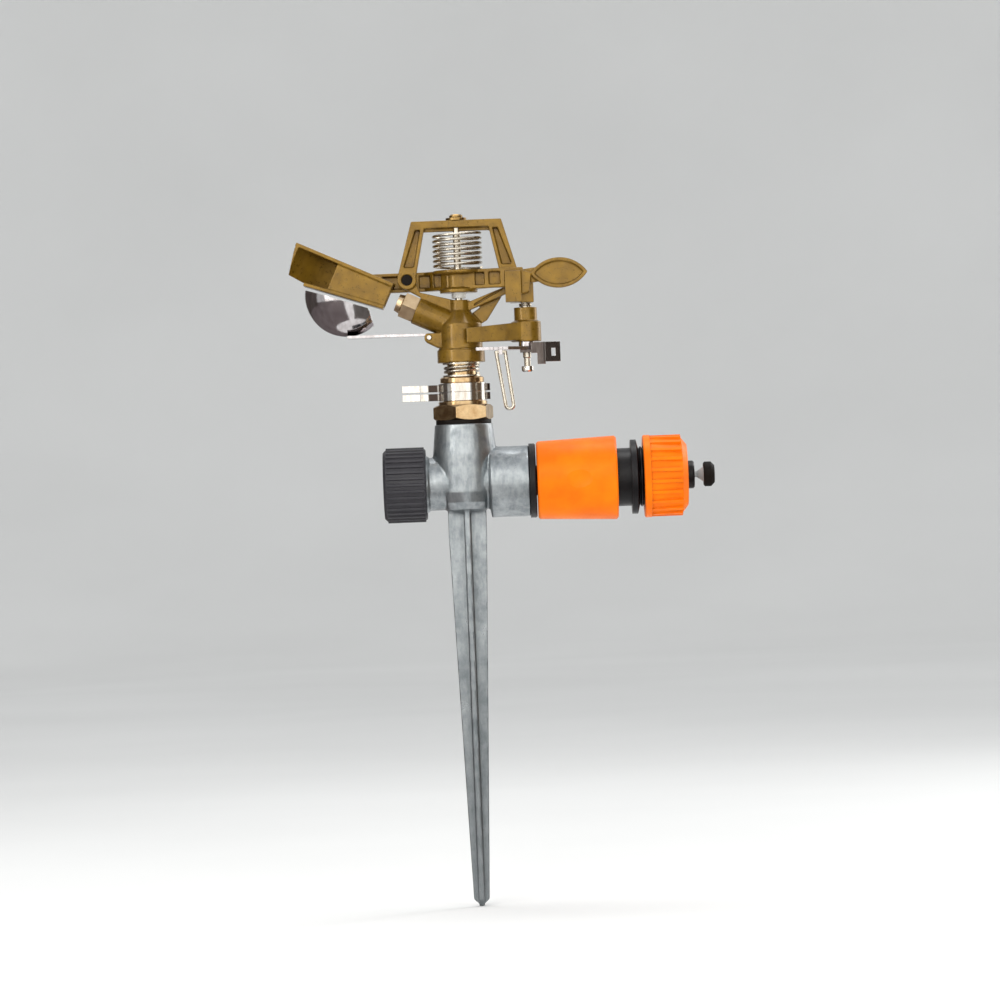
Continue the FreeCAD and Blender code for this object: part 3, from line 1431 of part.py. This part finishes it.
def make_water_stop():
    """The valve that shuts the barb's mouth when the coupler is pulled off the spigot."""
    head_start = "spigot_end + fit_gap"
    head_end = f"{head_start} + valve_head"
    subpart("valve_stem", turned([
        ("0", head_start),
        ("valve_spring_radius + 0.7", head_start),
        ("valve_spring_radius + 0.7", head_end),
        ("valve_stem_radius", head_end),
        ("valve_stem_radius", "valve_flare_start"),
        ("valve_flare_radius", "valve_disc_start"),
        ("0", "valve_disc_start"),
    ], **EAST))
    subpart("valve_disc", turned([
        ("0", "valve_disc_start + 0.02"),
        ("valve_disc_radius - 0.6", "valve_disc_start + 0.02"),
        ("valve_disc_radius", "valve_disc_start + 0.6"),
        ("valve_disc_radius", "valve_disc_end - 1.6"),
        ("valve_disc_radius - 1.6", "valve_disc_end"),
        ("0", "valve_disc_end"),
    ], **EAST))
    first = f"{head_end} + valve_spring_wire_radius + fit_gap"
    last = "valve_guide_start - valve_spring_wire_radius - fit_gap"
    wire = "valve_spring_wire_radius"
    spring = coil("valve_spring_radius", wire, f"{last} - ({first})", "4", x=first, **EAST)
    subpart("valve_spring", spring)


def make_hose_nut():
    shell = turned([
        ("nut_hole_radius", "nut_end"),
        ("nut_hole_radius", "nut_end - nut_wall"),
        ("nut_bore_radius", "nut_end - nut_wall"),
        ("nut_bore_radius", "nut_start"),
        ("nut_radius + nut_rib - 0.5", "nut_start"),
        ("nut_radius + nut_rib", "nut_start + 0.5"),
        ("nut_radius + nut_rib", "nut_start + 3"),
        ("nut_radius", "nut_start + 3.2"),
        ("nut_end_radius", "nut_end - 2.4"),
        ("nut_end_radius - 3", "nut_end"),
    ], **EAST)
    rib = [
        ("nut_end_radius - 1", "-1.1"),
        ("nut_radius + nut_rib - 0.3", "-0.75"),
        ("nut_radius + nut_rib - 0.3", "0.75"),
        ("nut_end_radius - 1", "1.1"),
    ]
    subpart("hose_nut", ribbed(shell, rib, "nut_start + 2.8", "nut_end - 2.6", "nut_rib_count"))
    ring = turned([
        ("grip_ring_bore_radius", "grip_ring_start"),
        ("nut_bore_radius - 0.4", "grip_ring_start"),
        ("nut_bore_radius - 0.4", "nut_end - nut_wall - 1.6"),
        ("grip_ring_bore_radius + 1.2", "nut_end - nut_wall - fit_gap"),
        ("grip_ring_bore_radius", "nut_end - nut_wall - fit_gap"),
    ], **EAST)
    subpart("grip_ring", ring)


# ---- build, check and write ---------------------------------------------------------------------


def build():
    make_spike_tee()
    make_end_cap()
    make_nipple()
    lower = "collar_seat_low + collar_gap"
    make_stop_collar("lower_stop_collar", lower)
    make_stop_collar("upper_stop_collar", f"{lower} + collar_thickness + collar_gap")
    make_head_bearing()
    make_head_casting()
    make_nozzle()
    make_fulcrum()
    make_drive_arm()
    make_deflector()
    make_trip_pin()
    make_trip_hammer()
    make_trip_plate()
    make_trip_bracket()
    make_trip_wire()
    make_hose_adapter()
    make_coupler_body()
    make_jaws()
    make_release_sleeve()
    make_water_stop()
    make_hose_nut()
    doc.recompute()


def check():
    """Stops the script if any object failed or any piece is empty or broken."""
    for item in doc.Objects:
        states = set(item.State)
        if states & {"Invalid", "Error"}:
            raise RuntimeError(f"{item.Label} failed: {item.State}")
    for item in subparts:
        if item.Shape.isNull() or not item.Shape.isValid():
            raise RuntimeError(f"{item.Label} has no valid shape")


def write():
    os.makedirs("parts", exist_ok=True)
    for item in subparts:
        item.Shape.exportStep(f"parts/{item.Label}.step")
        solids = len(item.Shape.Solids)
        print(f"{item.Label}: {solids} solid(s), {item.Shape.Volume:.1f} mm3")


build()
check()
write()
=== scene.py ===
import bpy
from math import cos, pi, radians, sin
from mathutils import Matrix, Vector


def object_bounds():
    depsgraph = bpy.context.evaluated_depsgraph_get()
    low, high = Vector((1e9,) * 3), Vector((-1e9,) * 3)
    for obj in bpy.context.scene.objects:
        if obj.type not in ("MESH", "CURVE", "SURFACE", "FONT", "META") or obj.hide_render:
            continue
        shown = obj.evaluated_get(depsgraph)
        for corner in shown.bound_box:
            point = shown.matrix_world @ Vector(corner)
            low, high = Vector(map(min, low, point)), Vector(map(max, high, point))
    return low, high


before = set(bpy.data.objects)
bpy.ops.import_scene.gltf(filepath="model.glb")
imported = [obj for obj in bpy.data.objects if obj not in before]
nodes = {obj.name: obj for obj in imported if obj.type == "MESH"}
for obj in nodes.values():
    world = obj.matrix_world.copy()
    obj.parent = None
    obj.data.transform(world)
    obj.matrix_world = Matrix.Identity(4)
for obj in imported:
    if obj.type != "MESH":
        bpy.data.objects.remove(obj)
cad_low, cad_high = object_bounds()
mm = 0.001
WELD_DISTANCE = 2e-6    # metres
SMOOTH_ROUNDS = 3
COLLAR_WEB_SHADE_RADII = (10.9, 15.3)    # mm from the part's axis, between which the collars' web gets a painted shade
COLLAR_WEB_SHADE_FADE = 0.4    # mm each way


# ---- node helpers -------------------------------------------------------------------------------


def new_material(name):
    material = bpy.data.materials.new(name)
    material.use_nodes = True
    material.node_tree.nodes.clear()
    return material


def add(tree, kind, inputs=None, **settings):
    """A shader node with its settings, and each input given as a value or another node's output."""
    made = tree.nodes.new("ShaderNode" + kind)
    for key, value in settings.items():
        setattr(made, key, value)
    for key, value in (inputs or {}).items():
        if isinstance(value, bpy.types.NodeSocket):
            tree.links.new(value, made.inputs[key])
        else:
            made.inputs[key].default_value = value
    return made


def place_of(tree, stretch=(1, 1, 1)):
    """The surface point in metres, in the part's own frame."""
    point = add(tree, "TexCoord").outputs["Object"]
    if stretch == (1, 1, 1):
        return point
    return add(tree, "Mapping", {"Vector": point, "Scale": stretch}).outputs["Vector"]


def noise(tree, size, detail=4.0, roughness=0.55, stretch=(1, 1, 1)):
    """Noise whose blotches are about size metres across."""
    inputs = {"Vector": place_of(tree, stretch), "Scale": 1 / size, "Detail": detail, "Roughness": roughness}
    return add(tree, "TexNoise", inputs).outputs["Fac"]


def spread(tree, value, low, high, to_low=0.0, to_high=1.0):
    """The value carried from one range over to another, and held at its ends."""
    inputs = {"Value": value, "From Min": low, "From Max": high, "To Min": to_low, "To Max": to_high}
    return add(tree, "MapRange", inputs).outputs["Result"]


def maths(tree, operation, first, second=0.0):
    return add(tree, "Math", {0: first, 1: second}, operation=operation).outputs["Value"]


def mixed(tree, factor, first, second, blend="MIX"):
    made = tree.nodes.new("ShaderNodeMix")
    made.data_type = "RGBA"
    made.blend_type = blend
    for index, value in ((0, factor), (6, first), (7, second)):
        if isinstance(value, bpy.types.NodeSocket):
            tree.links.new(value, made.inputs[index])
        else:
            made.inputs[index].default_value = value if index == 0 else (*value, 1.0)
    return made.outputs[2]


def hollows(tree, reach):
    """1 on open surfaces, falling towards 0 in corners and recesses."""
    return add(tree, "AmbientOcclusion", {"Distance": reach}, samples=4, only_local=True).outputs["AO"]


def edges(tree, radius):
    """0 on flat surfaces, rising along edges, and the rounded normal it comes from."""
    soft = add(tree, "Bevel", {"Radius": radius}, samples=4).outputs["Normal"]
    true = add(tree, "NewGeometry").outputs["Normal"]
    same = add(tree, "VectorMath", {0: soft, 1: true}, operation="DOT_PRODUCT").outputs["Value"]
    return spread(tree, same, 0.99, 0.78), soft


def bumped(tree, height, depth, normal=None, strength=1.0):
    inputs = {"Height": height, "Distance": depth, "Strength": strength}
    if normal is not None:
        inputs["Normal"] = normal
    return add(tree, "Bump", inputs).outputs["Normal"]


def with_painted_shade(tree, colour, painted_shade_colour, reach, clear, deep, most):
    """The colour with painted shade where the surface is shut in: it starts at clear and reaches most at
    deep.
    """
    return mixed(tree, spread(tree, hollows(tree, reach), clear, deep, 0.0, most), colour, painted_shade_colour)


def edges_lightened(tree, colour, edge_mask, amount, overlay):
    """The colour lightened along edges towards a given colour: rubbed wear on most parts, a painted highlight
    on the gold lacquer.
    """
    return mixed(tree, maths(tree, "MULTIPLY", edge_mask, amount), colour, overlay)


def finish_material(material, inputs):
    tree = material.node_tree
    shader = add(tree, "BsdfPrincipled", inputs)
    out = tree.nodes.new("ShaderNodeOutputMaterial")
    tree.links.new(shader.outputs["BSDF"], out.inputs["Surface"])
    return material


# ---- materials ----------------------------------------------------------------------------------


def cast_zinc():
    """Bare die-cast zinc: bluish, clouded, with dull oxide patches and small pits, and painted shade that
    darkens it towards the tip and in recesses.
    """
    material = new_material("Zinc")
    tree = material.node_tree
    clouds = noise(tree, 9 * mm, 6, 0.62)
    flow = noise(tree, 2.2 * mm, 5, 0.6, (1, 1, 0.35))
    grain = noise(tree, 0.35 * mm, 3, 0.6)
    edge_mask, soft = edges(tree, 0.35 * mm)
    colour = mixed(tree, spread(tree, clouds, 0.35, 0.68), (0.21, 0.235, 0.25), (0.385, 0.41, 0.425))
    colour = mixed(tree, spread(tree, flow, 0.42, 0.66, 0.0, 0.55), colour, (0.47, 0.495, 0.51))
    # Painted shade: the zinc darkens with depth below the tee, towards the spike's tip.
    height = add(tree, "SeparateXYZ", {"Vector": place_of(tree)}).outputs["Z"]
    colour = mixed(tree, spread(tree, height, -10 * mm, -150 * mm, 0.0, 0.6), colour, (0.12, 0.13, 0.135))
    # Painted shade: a darker zinc laid into recesses and corners by ambient occlusion.
    colour = with_painted_shade(tree, colour, (0.13, 0.145, 0.155), 3 * mm, 0.95, 0.35, 0.7)
    colour = edges_lightened(tree, colour, edge_mask, 0.6, (0.66, 0.68, 0.70))
    dullness = spread(tree, clouds, 0.3, 0.7, 0.46, 0.27)
    dullness = maths(tree, "ADD", dullness, spread(tree, grain, 0.3, 0.7, -0.05, 0.07))
    relief = bumped(tree, flow, 0.10 * mm, soft, 0.45)
    relief = bumped(tree, grain, 0.03 * mm, relief, 0.6)
    return finish_material(material, {
        "Base Color": colour, "Metallic": 0.92, "Roughness": dullness, "Normal": relief,
    })


def gold_lacquer():
    """Bronze-gold lacquer on a cast surface, with painted shade in recesses and a painted cream highlight
    along edges.
    """
    material = new_material("Gold_lacquer")
    tree = material.node_tree
    clouds = noise(tree, 6 * mm, 5, 0.6)
    flow = noise(tree, 1.5 * mm, 4, 0.55)
    grain = noise(tree, 0.30 * mm, 3, 0.6)
    edge_mask, soft = edges(tree, 0.30 * mm)
    colour = mixed(tree, spread(tree, clouds, 0.32, 0.7), (0.150, 0.080, 0.007), (0.255, 0.140, 0.012))
    # Painted shade: dark brown laid into recesses and corners by ambient occlusion.
    colour = with_painted_shade(tree, colour, (0.075, 0.036, 0.009), 2.5 * mm, 0.85, 0.25, 0.75)
    # Painted highlight: a cream colour laid along the gold's edges.
    colour = edges_lightened(tree, colour, edge_mask, 0.6, (0.86, 0.66, 0.34))
    dullness = spread(tree, flow, 0.3, 0.7, 0.25, 0.40)
    relief = bumped(tree, flow, 0.07 * mm, soft, 0.4)
    relief = bumped(tree, grain, 0.022 * mm, relief, 0.5)
    return finish_material(material, {
        "Base Color": colour, "Metallic": 0.45, "Roughness": dullness, "Normal": relief,
        "Specular IOR Level": 0.3, "Coat Weight": 0.35, "Coat Roughness": 0.12,
    })


def turned_metal(name, dark, light, dull_low, dull_high, tarnish_and_shade=(0.10, 0.06, 0.03), stain=0.35):
    """Machined metal: fine tool lines, faint stains, worn edges, and painted shade in corners."""
    material = new_material(name)
    tree = material.node_tree
    stains = noise(tree, 4 * mm, 5, 0.6)
    lines = noise(tree, 0.5 * mm, 3, 0.5, (0.25, 0.25, 3.0))
    edge_mask, soft = edges(tree, 0.22 * mm)
    colour = mixed(tree, spread(tree, stains, 0.3, 0.7), dark, light)
    # Painted shade: the tarnish colour laid into corners and recesses by ambient occlusion.
    colour = with_painted_shade(tree, colour, tarnish_and_shade, 1.6 * mm, 0.9, 0.3, 0.75)
    colour = mixed(tree, spread(tree, stains, 0.62, 0.8, 0.0, stain), colour, tarnish_and_shade)
    colour = edges_lightened(tree, colour, edge_mask, 0.5, tuple(min(1.0, part * 1.5) for part in light))
    dullness = spread(tree, stains, 0.3, 0.7, dull_low, dull_high)
    relief = bumped(tree, lines, 0.02 * mm, soft, 0.45)
    return finish_material(material, {
        "Base Color": colour, "Metallic": 1.0, "Roughness": dullness, "Normal": relief,
    })


def ring_mask(tree, inner, outer):
    """1 between two distances from the part's vertical axis, in mm, fading to 0 at both."""
    level = {0: place_of(tree), 1: (1.0, 1.0, 0.0)}
    level = add(tree, "VectorMath", level, operation="MULTIPLY").outputs["Vector"]
    away = add(tree, "VectorMath", {0: level}, operation="LENGTH").outputs["Value"]
    fade = COLLAR_WEB_SHADE_FADE
    starts = spread(tree, away, (inner - fade) * mm, (inner + fade) * mm)
    ends = spread(tree, away, (outer - fade) * mm, (outer + fade) * mm, 1.0, 0.0)
    return maths(tree, "MULTIPLY", starts, ends)


def chrome(name, bright, bloom, dull=0.09, overlay=None):
    """Nickel-chrome plate with faint waviness, smears and a brownish bloom, with painted shade in corners.

    A painted shade darkens the plate between two distances from the part's axis, in mm, when these are given.
    """
    material = new_material(name)
    tree = material.node_tree
    waves = noise(tree, 5 * mm, 3, 0.5)
    smears = noise(tree, 2 * mm, 4, 0.6, (1, 1, 0.3))
    scratches = noise(tree, 0.4 * mm, 2, 0.5, (0.12, 1, 2.5))
    edge_mask, soft = edges(tree, 0.25 * mm)
    colour = mixed(tree, spread(tree, smears, 0.4, 0.7), bright, bloom)
    # Painted shade: a dark brown laid into corners and recesses by ambient occlusion.
    colour = with_painted_shade(tree, colour, (0.06, 0.045, 0.035), 2 * mm, 0.9, 0.3, 0.7)
    colour = edges_lightened(tree, colour, edge_mask, 0.5, (0.92, 0.91, 0.89))
    # Painted shade: a dark ring on the collars' web, between the two given distances from the axis.
    if overlay is not None:
        colour = mixed(tree, ring_mask(tree, *overlay), colour, (0.05, 0.036, 0.030))
    dullness = spread(tree, smears, 0.35, 0.7, dull, dull + 0.13)
    relief = bumped(tree, waves, 0.12 * mm, soft, 0.35)
    relief = bumped(tree, scratches, 0.006 * mm, relief, 0.5)
    return finish_material(material, {
        "Base Color": colour, "Metallic": 1.0, "Roughness": dullness, "Normal": relief,
    })


def plastic(name, dark, light, dull, grain_depth, worn, specular=0.5):
    """Moulded plastic: slight colour drift, spark-eroded grain, paler scuffed edges."""
    material = new_material(name)
    tree = material.node_tree
    drift = noise(tree, 14 * mm, 3, 0.5)
    grain = noise(tree, 0.28 * mm, 2, 0.5)
    scuffs = noise(tree, 1.2 * mm, 4, 0.65, (1, 0.4, 1))
    edge_mask, soft = edges(tree, 0.40 * mm)
    colour = mixed(tree, spread(tree, drift, 0.35, 0.65), dark, light)
    # Painted shade: a darker copy of the plastic's colour laid into recesses by ambient occlusion.
    colour = with_painted_shade(tree, colour, tuple(part * 0.35 for part in dark), 2.5 * mm, 0.9, 0.25, 0.6)
    colour = edges_lightened(tree, colour, edge_mask, spread(tree, scuffs, 0.4, 0.7, 0.15, 0.6), worn)
    dullness = spread(tree, scuffs, 0.35, 0.7, dull - 0.05, dull + 0.09)
    relief = bumped(tree, grain, grain_depth * mm, soft, 0.5)
    relief = bumped(tree, drift, 0.25 * mm, relief, 0.25)
    return finish_material(material, {
        "Base Color": colour, "Metallic": 0.0, "Roughness": dullness, "Normal": relief,
        "Specular IOR Level": specular,
    })


def make_materials():
    """Every material by its short name, as NODE_MATERIALS uses it."""
    return {
        "zinc": cast_zinc(),
        "gold": gold_lacquer(),
        "chrome": chrome("Chrome", (0.74, 0.72, 0.69), (0.56, 0.50, 0.44)),
        "collar": chrome("Collar_chrome", (0.80, 0.78, 0.74), (0.62, 0.55, 0.47), overlay=COLLAR_WEB_SHADE_RADII),
        # Painted shade: the deflector and trip plate get a darker copy of the chrome.
        "bowl": chrome("Bowl_chrome", (0.62, 0.59, 0.60), (0.46, 0.42, 0.42), 0.06),
        # Painted shade: the trip bracket gets a dark copy of the chrome.
        "shaded_chrome": chrome("Chrome_painted_shade", (0.11, 0.092, 0.084), (0.07, 0.055, 0.050), 0.16),
        "brass": turned_metal("Brass", (0.36, 0.215, 0.095), (0.64, 0.47, 0.27), 0.14, 0.24),
        "bronze": turned_metal("Bronze", (0.20, 0.115, 0.035), (0.36, 0.23, 0.085), 0.24, 0.36),
        "copper": turned_metal("Nozzle_brass", (0.66, 0.46, 0.26), (0.84, 0.65, 0.42), 0.26, 0.38),
        "steel": turned_metal("Steel", (0.52, 0.46, 0.37), (0.72, 0.67, 0.58), 0.20, 0.33,
                              tarnish_and_shade=(0.11, 0.07, 0.04), stain=0.2),
        "rubber": plastic("Rubber", (0.005, 0.003, 0.002), (0.009, 0.006, 0.004), 0.58, 0.05,
                          (0.03, 0.03, 0.03), specular=0.12),
        "black": plastic("Black_plastic", (0.005, 0.004, 0.005), (0.009, 0.008, 0.008), 0.36, 0.03,
                         (0.04, 0.04, 0.042), specular=0.25),
        "cap": plastic("Cap_plastic", (0.026, 0.025, 0.030), (0.040, 0.038, 0.044), 0.42, 0.05,
                       (0.13, 0.13, 0.14), specular=0.35),
        "grey": plastic("Grey_plastic", (0.33, 0.33, 0.325), (0.45, 0.45, 0.445), 0.40, 0.03,
                        (0.55, 0.55, 0.55)),
        "orange": plastic("Orange_plastic", (0.86, 0.150, 0.001), (1.0, 0.205, 0.001), 0.36, 0.03,
                          (1.0, 0.34, 0.06), specular=0.12),
        "light": plastic("Light_plastic", (0.62, 0.60, 0.55), (0.74, 0.72, 0.67), 0.40, 0.02,
                         (0.85, 0.84, 0.80)),
    }


NODE_MATERIALS = {
    "zinc": ["spike_tee"],
    "gold": ["head_casting", "drive_arm", "trip_hammer"],
    "chrome": ["trip_pin_cap", "deflector_pin"],
    "collar": ["lower_stop_collar", "upper_stop_collar"],
    "bowl": ["deflector", "trip_plate"],
    "shaded_chrome": ["trip_bracket"],
    "brass": ["bearing_nipple", "inner_tube"],
    "bronze": ["pin_cap"],
    "copper": ["nozzle"],
    "steel": ["bearing_spring", "bearing_washers", "fulcrum_pin", "arm_spring", "trip_pin", "trip_spring",
              "trip_wire", "sleeve_spring", "valve_spring"],
    "rubber": ["riser_gasket", "adapter_gasket", "end_cap_washer", "arm_buffer", "seal_washer",
               "spigot_o_ring", "coupler_seal", "valve_disc"],
    "black": ["hose_adapter", "coupler_body"],
    "cap": ["end_cap"],
    "grey": ["valve_stem"],
    "orange": ["release_sleeve", "hose_nut"],
    "light": ["thrust_washer", "arm_bushing", "locking_jaws", "grip_ring"],
}


def dress(materials):
    """Gives each CAD node its material without touching its mesh."""
    for key, names in NODE_MATERIALS.items():
        for name in names:
            for slot in nodes[name].material_slots:
                slot.link = "OBJECT"
                slot.material = materials[key]


def soften(name, voxel):
    """Rounds a casting's edges as a die and a tumbling drum leave them. The voxel is in mm."""
    item = nodes[name]
    weld = item.modifiers.new("Weld", "WELD")
    weld.merge_threshold = WELD_DISTANCE
    remesh = item.modifiers.new("Remesh", "REMESH")
    remesh.mode = "VOXEL"
    remesh.voxel_size = voxel * mm
    remesh.use_smooth_shade = True
    smooth = item.modifiers.new("Smooth", "SMOOTH")
    smooth.factor = 0.5
    smooth.iterations = SMOOTH_ROUNDS


# ---- stage --------------------------------------------------------------------------------------


def floor_material():
    material = new_material("Floor")
    tree = material.node_tree
    drift = noise(tree, 0.4, 3, 0.5)
    grain = noise(tree, 1.5 * mm, 3, 0.5)
    colour = mixed(tree, spread(tree, drift, 0.3, 0.7), (0.80, 0.80, 0.79), (0.84, 0.84, 0.83))
    return finish_material(material, {
        "Base Color": colour, "Roughness": 0.75, "Normal": bumped(tree, grain, 0.05 * mm, None, 0.3),
        "Specular IOR Level": 0.0,
    })


def make_floor():
    """A round pale floor whose far edge sweeps up into a low wall. Sizes in metres."""
    base = cad_low.z
    flat, sweep, wall_top = 3.0, 1.4, 2.6
    steps, segments = 12, 96
    profile = [(0.0, 0.0), (1.0, 0.0), (2.2, 0.0), (flat, 0.0)]
    for step in range(1, steps + 1):
        angle = radians(90 * step / steps)
        profile.append((flat + sweep * sin(angle), sweep * (1 - cos(angle))))
    profile.append((flat + sweep, wall_top))
    points, faces = [], []
    for radius, height in profile:
        for index in range(segments):
            angle = 2 * pi * index / segments
            points.append((radius * cos(angle), radius * sin(angle), base + height))
    for ring in range(len(profile) - 1):
        for index in range(segments):
            after = (index + 1) % segments
            a, b = ring * segments + index, ring * segments + after
            faces.append((a, b, b + segments, a + segments))
    mesh = bpy.data.meshes.new("Floor")
    mesh.from_pydata(points, [], faces)
    mesh.polygons.foreach_set("use_smooth", [True] * len(mesh.polygons))
    floor = bpy.data.objects.new("Floor", mesh)
    floor.data.materials.append(floor_material())
    bpy.context.scene.collection.objects.link(floor)


def softbox(name, place, aim, width, height, power, tint=(1.0, 1.0, 1.0)):
    """A rectangular lamp at place that faces aim. The camera doesn't see it."""
    light = bpy.data.lights.new(name, "AREA")
    light.shape = "RECTANGLE"
    light.size = width
    light.size_y = height
    light.energy = power
    light.color = tint
    item = bpy.data.objects.new(name, light)
    item.location = place
    item.rotation_euler = (Vector(aim) - Vector(place)).to_track_quat("-Z", "Y").to_euler()
    item.visible_camera = False
    bpy.context.scene.collection.objects.link(item)
    return item


def stand_card(name, rows, shade, glow):
    """A card that reflections see and the camera doesn't, from pairs of points along it."""
    material = new_material(name)
    tree = material.node_tree
    fade = spread(tree, noise(tree, 0.35, 2, 0.5), 0.3, 0.7, 0.75, 1.0)
    tone = mixed(tree, fade, (0.0, 0.0, 0.0), shade)
    finish_material(material, {
        "Base Color": tone, "Roughness": 1.0, "Emission Color": tone, "Emission Strength": glow,
    })
    points = [point for row in rows for point in row]
    faces = [(at, at + 2, at + 3, at + 1) for at in range(0, 2 * len(rows) - 2, 2)]
    mesh = bpy.data.meshes.new(name)
    mesh.from_pydata(points, [], faces)
    mesh.materials.append(material)
    card = bpy.data.objects.new(name, mesh)
    bpy.context.scene.collection.objects.link(card)
    card.visible_camera = False
    card.visible_diffuse = False
    card.visible_shadow = False


def around(first, last, steps=12):
    """Directions between two bearings, measured from the front towards the right, in degrees."""
    for step in range(steps + 1):
        angle = radians(first + (last - first) * step / steps)
        yield sin(angle), -cos(angle)


def make_card(name, first, last, shade, glow=0.0, low=-0.35, high=0.75, reach=0.95):
    """A curved card round the object, dark or glowing, so that bright metal has contrast."""
    rows = [[(reach * x, reach * y, height) for height in (low, high)] for x, y in around(first, last)]
    stand_card(name, rows, shade, glow)


def make_low_flag(name, first, last, shade):
    """A dark sector just over the floor, which the undersides of bright metal reflect."""
    height = cad_low.z + 4 * mm
    near, far = 0.15, 1.5
    rows = [[(reach * x, reach * y, height) for reach in (near, far)] for x, y in around(first, last)]
    stand_card(name, rows, shade, 0.0)


def make_lights():
    """Lamps and cards. Places and sizes in metres, bearings in degrees."""
    middle = (0.01, 0.0, 0.04)
    softbox("Key", (-0.42, -0.92, 0.50), middle, width=0.75, height=0.60, power=5.2, tint=(1.0, 0.985, 0.96))
    fill = softbox("Fill", (0.62, -0.88, 0.03), middle, width=0.50, height=0.30, power=3.2)
    fill.visible_glossy = False
    softbox("Top", (0.05, 0.15, 0.95), middle, width=0.90, height=0.35, power=4.0)
    softbox("Back_right", (0.75, 0.60, 0.30), middle, width=0.25, height=0.80, power=2.5)
    make_card("Card_front", -52, 38, (1.0, 0.985, 0.95), glow=0.9, low=-0.06, high=0.70)
    make_card("Card_streak", -50, -42, (1.0, 0.98, 0.94), glow=7.0, low=0.05, high=0.60, reach=0.93)
    make_card("Card_edge", 108, 135, (1.0, 0.99, 0.97), glow=1.5)
    make_card("Flag_right", 44, 104, (0.13, 0.085, 0.05))
    make_card("Flag_left", -150, -76, (0.08, 0.066, 0.060))
    make_low_flag("Flag_low_left", -175, -9, (0.150, 0.125, 0.125))
    make_low_flag("Flag_low_right", 11, 150, (0.12, 0.11, 0.10))
    world = bpy.data.worlds.new("Studio")
    world.use_nodes = True
    backdrop = world.node_tree.nodes["Background"]
    backdrop.inputs["Color"].default_value = (0.97, 0.985, 1.0, 1.0)
    backdrop.inputs["Strength"].default_value = 0.80
    bpy.context.scene.world = world


def make_camera():
    """Straight from the front through a long lens, rolled as the object leans."""
    lens = 150.0    # mm
    view_width = 0.4447    # metres across the view at the object
    place_x, place_z = 0.0148, 0.0159    # metres
    lean = radians(2.2)
    camera = bpy.data.cameras.new("Camera")
    camera.lens = lens
    camera.sensor_width = 36.0
    camera.clip_end = 20.0
    item = bpy.data.objects.new("Camera", camera)
    distance = view_width * lens / camera.sensor_width
    roll = Matrix.Rotation(lean, 4, "Y")
    facing = Matrix.Rotation(radians(90), 4, "X")
    item.matrix_world = Matrix.Translation((place_x, -distance, place_z)) @ roll @ facing
    bpy.context.scene.collection.objects.link(item)
    bpy.context.scene.camera = item


# ---- build --------------------------------------------------------------------------------------

make_camera()
dress(make_materials())
soften("spike_tee", 0.40)
soften("head_casting", 0.30)
soften("drive_arm", 0.28)
soften("trip_hammer", 0.25)
make_floor()
make_lights()
bpy.context.scene.view_settings.view_transform = "Standard"
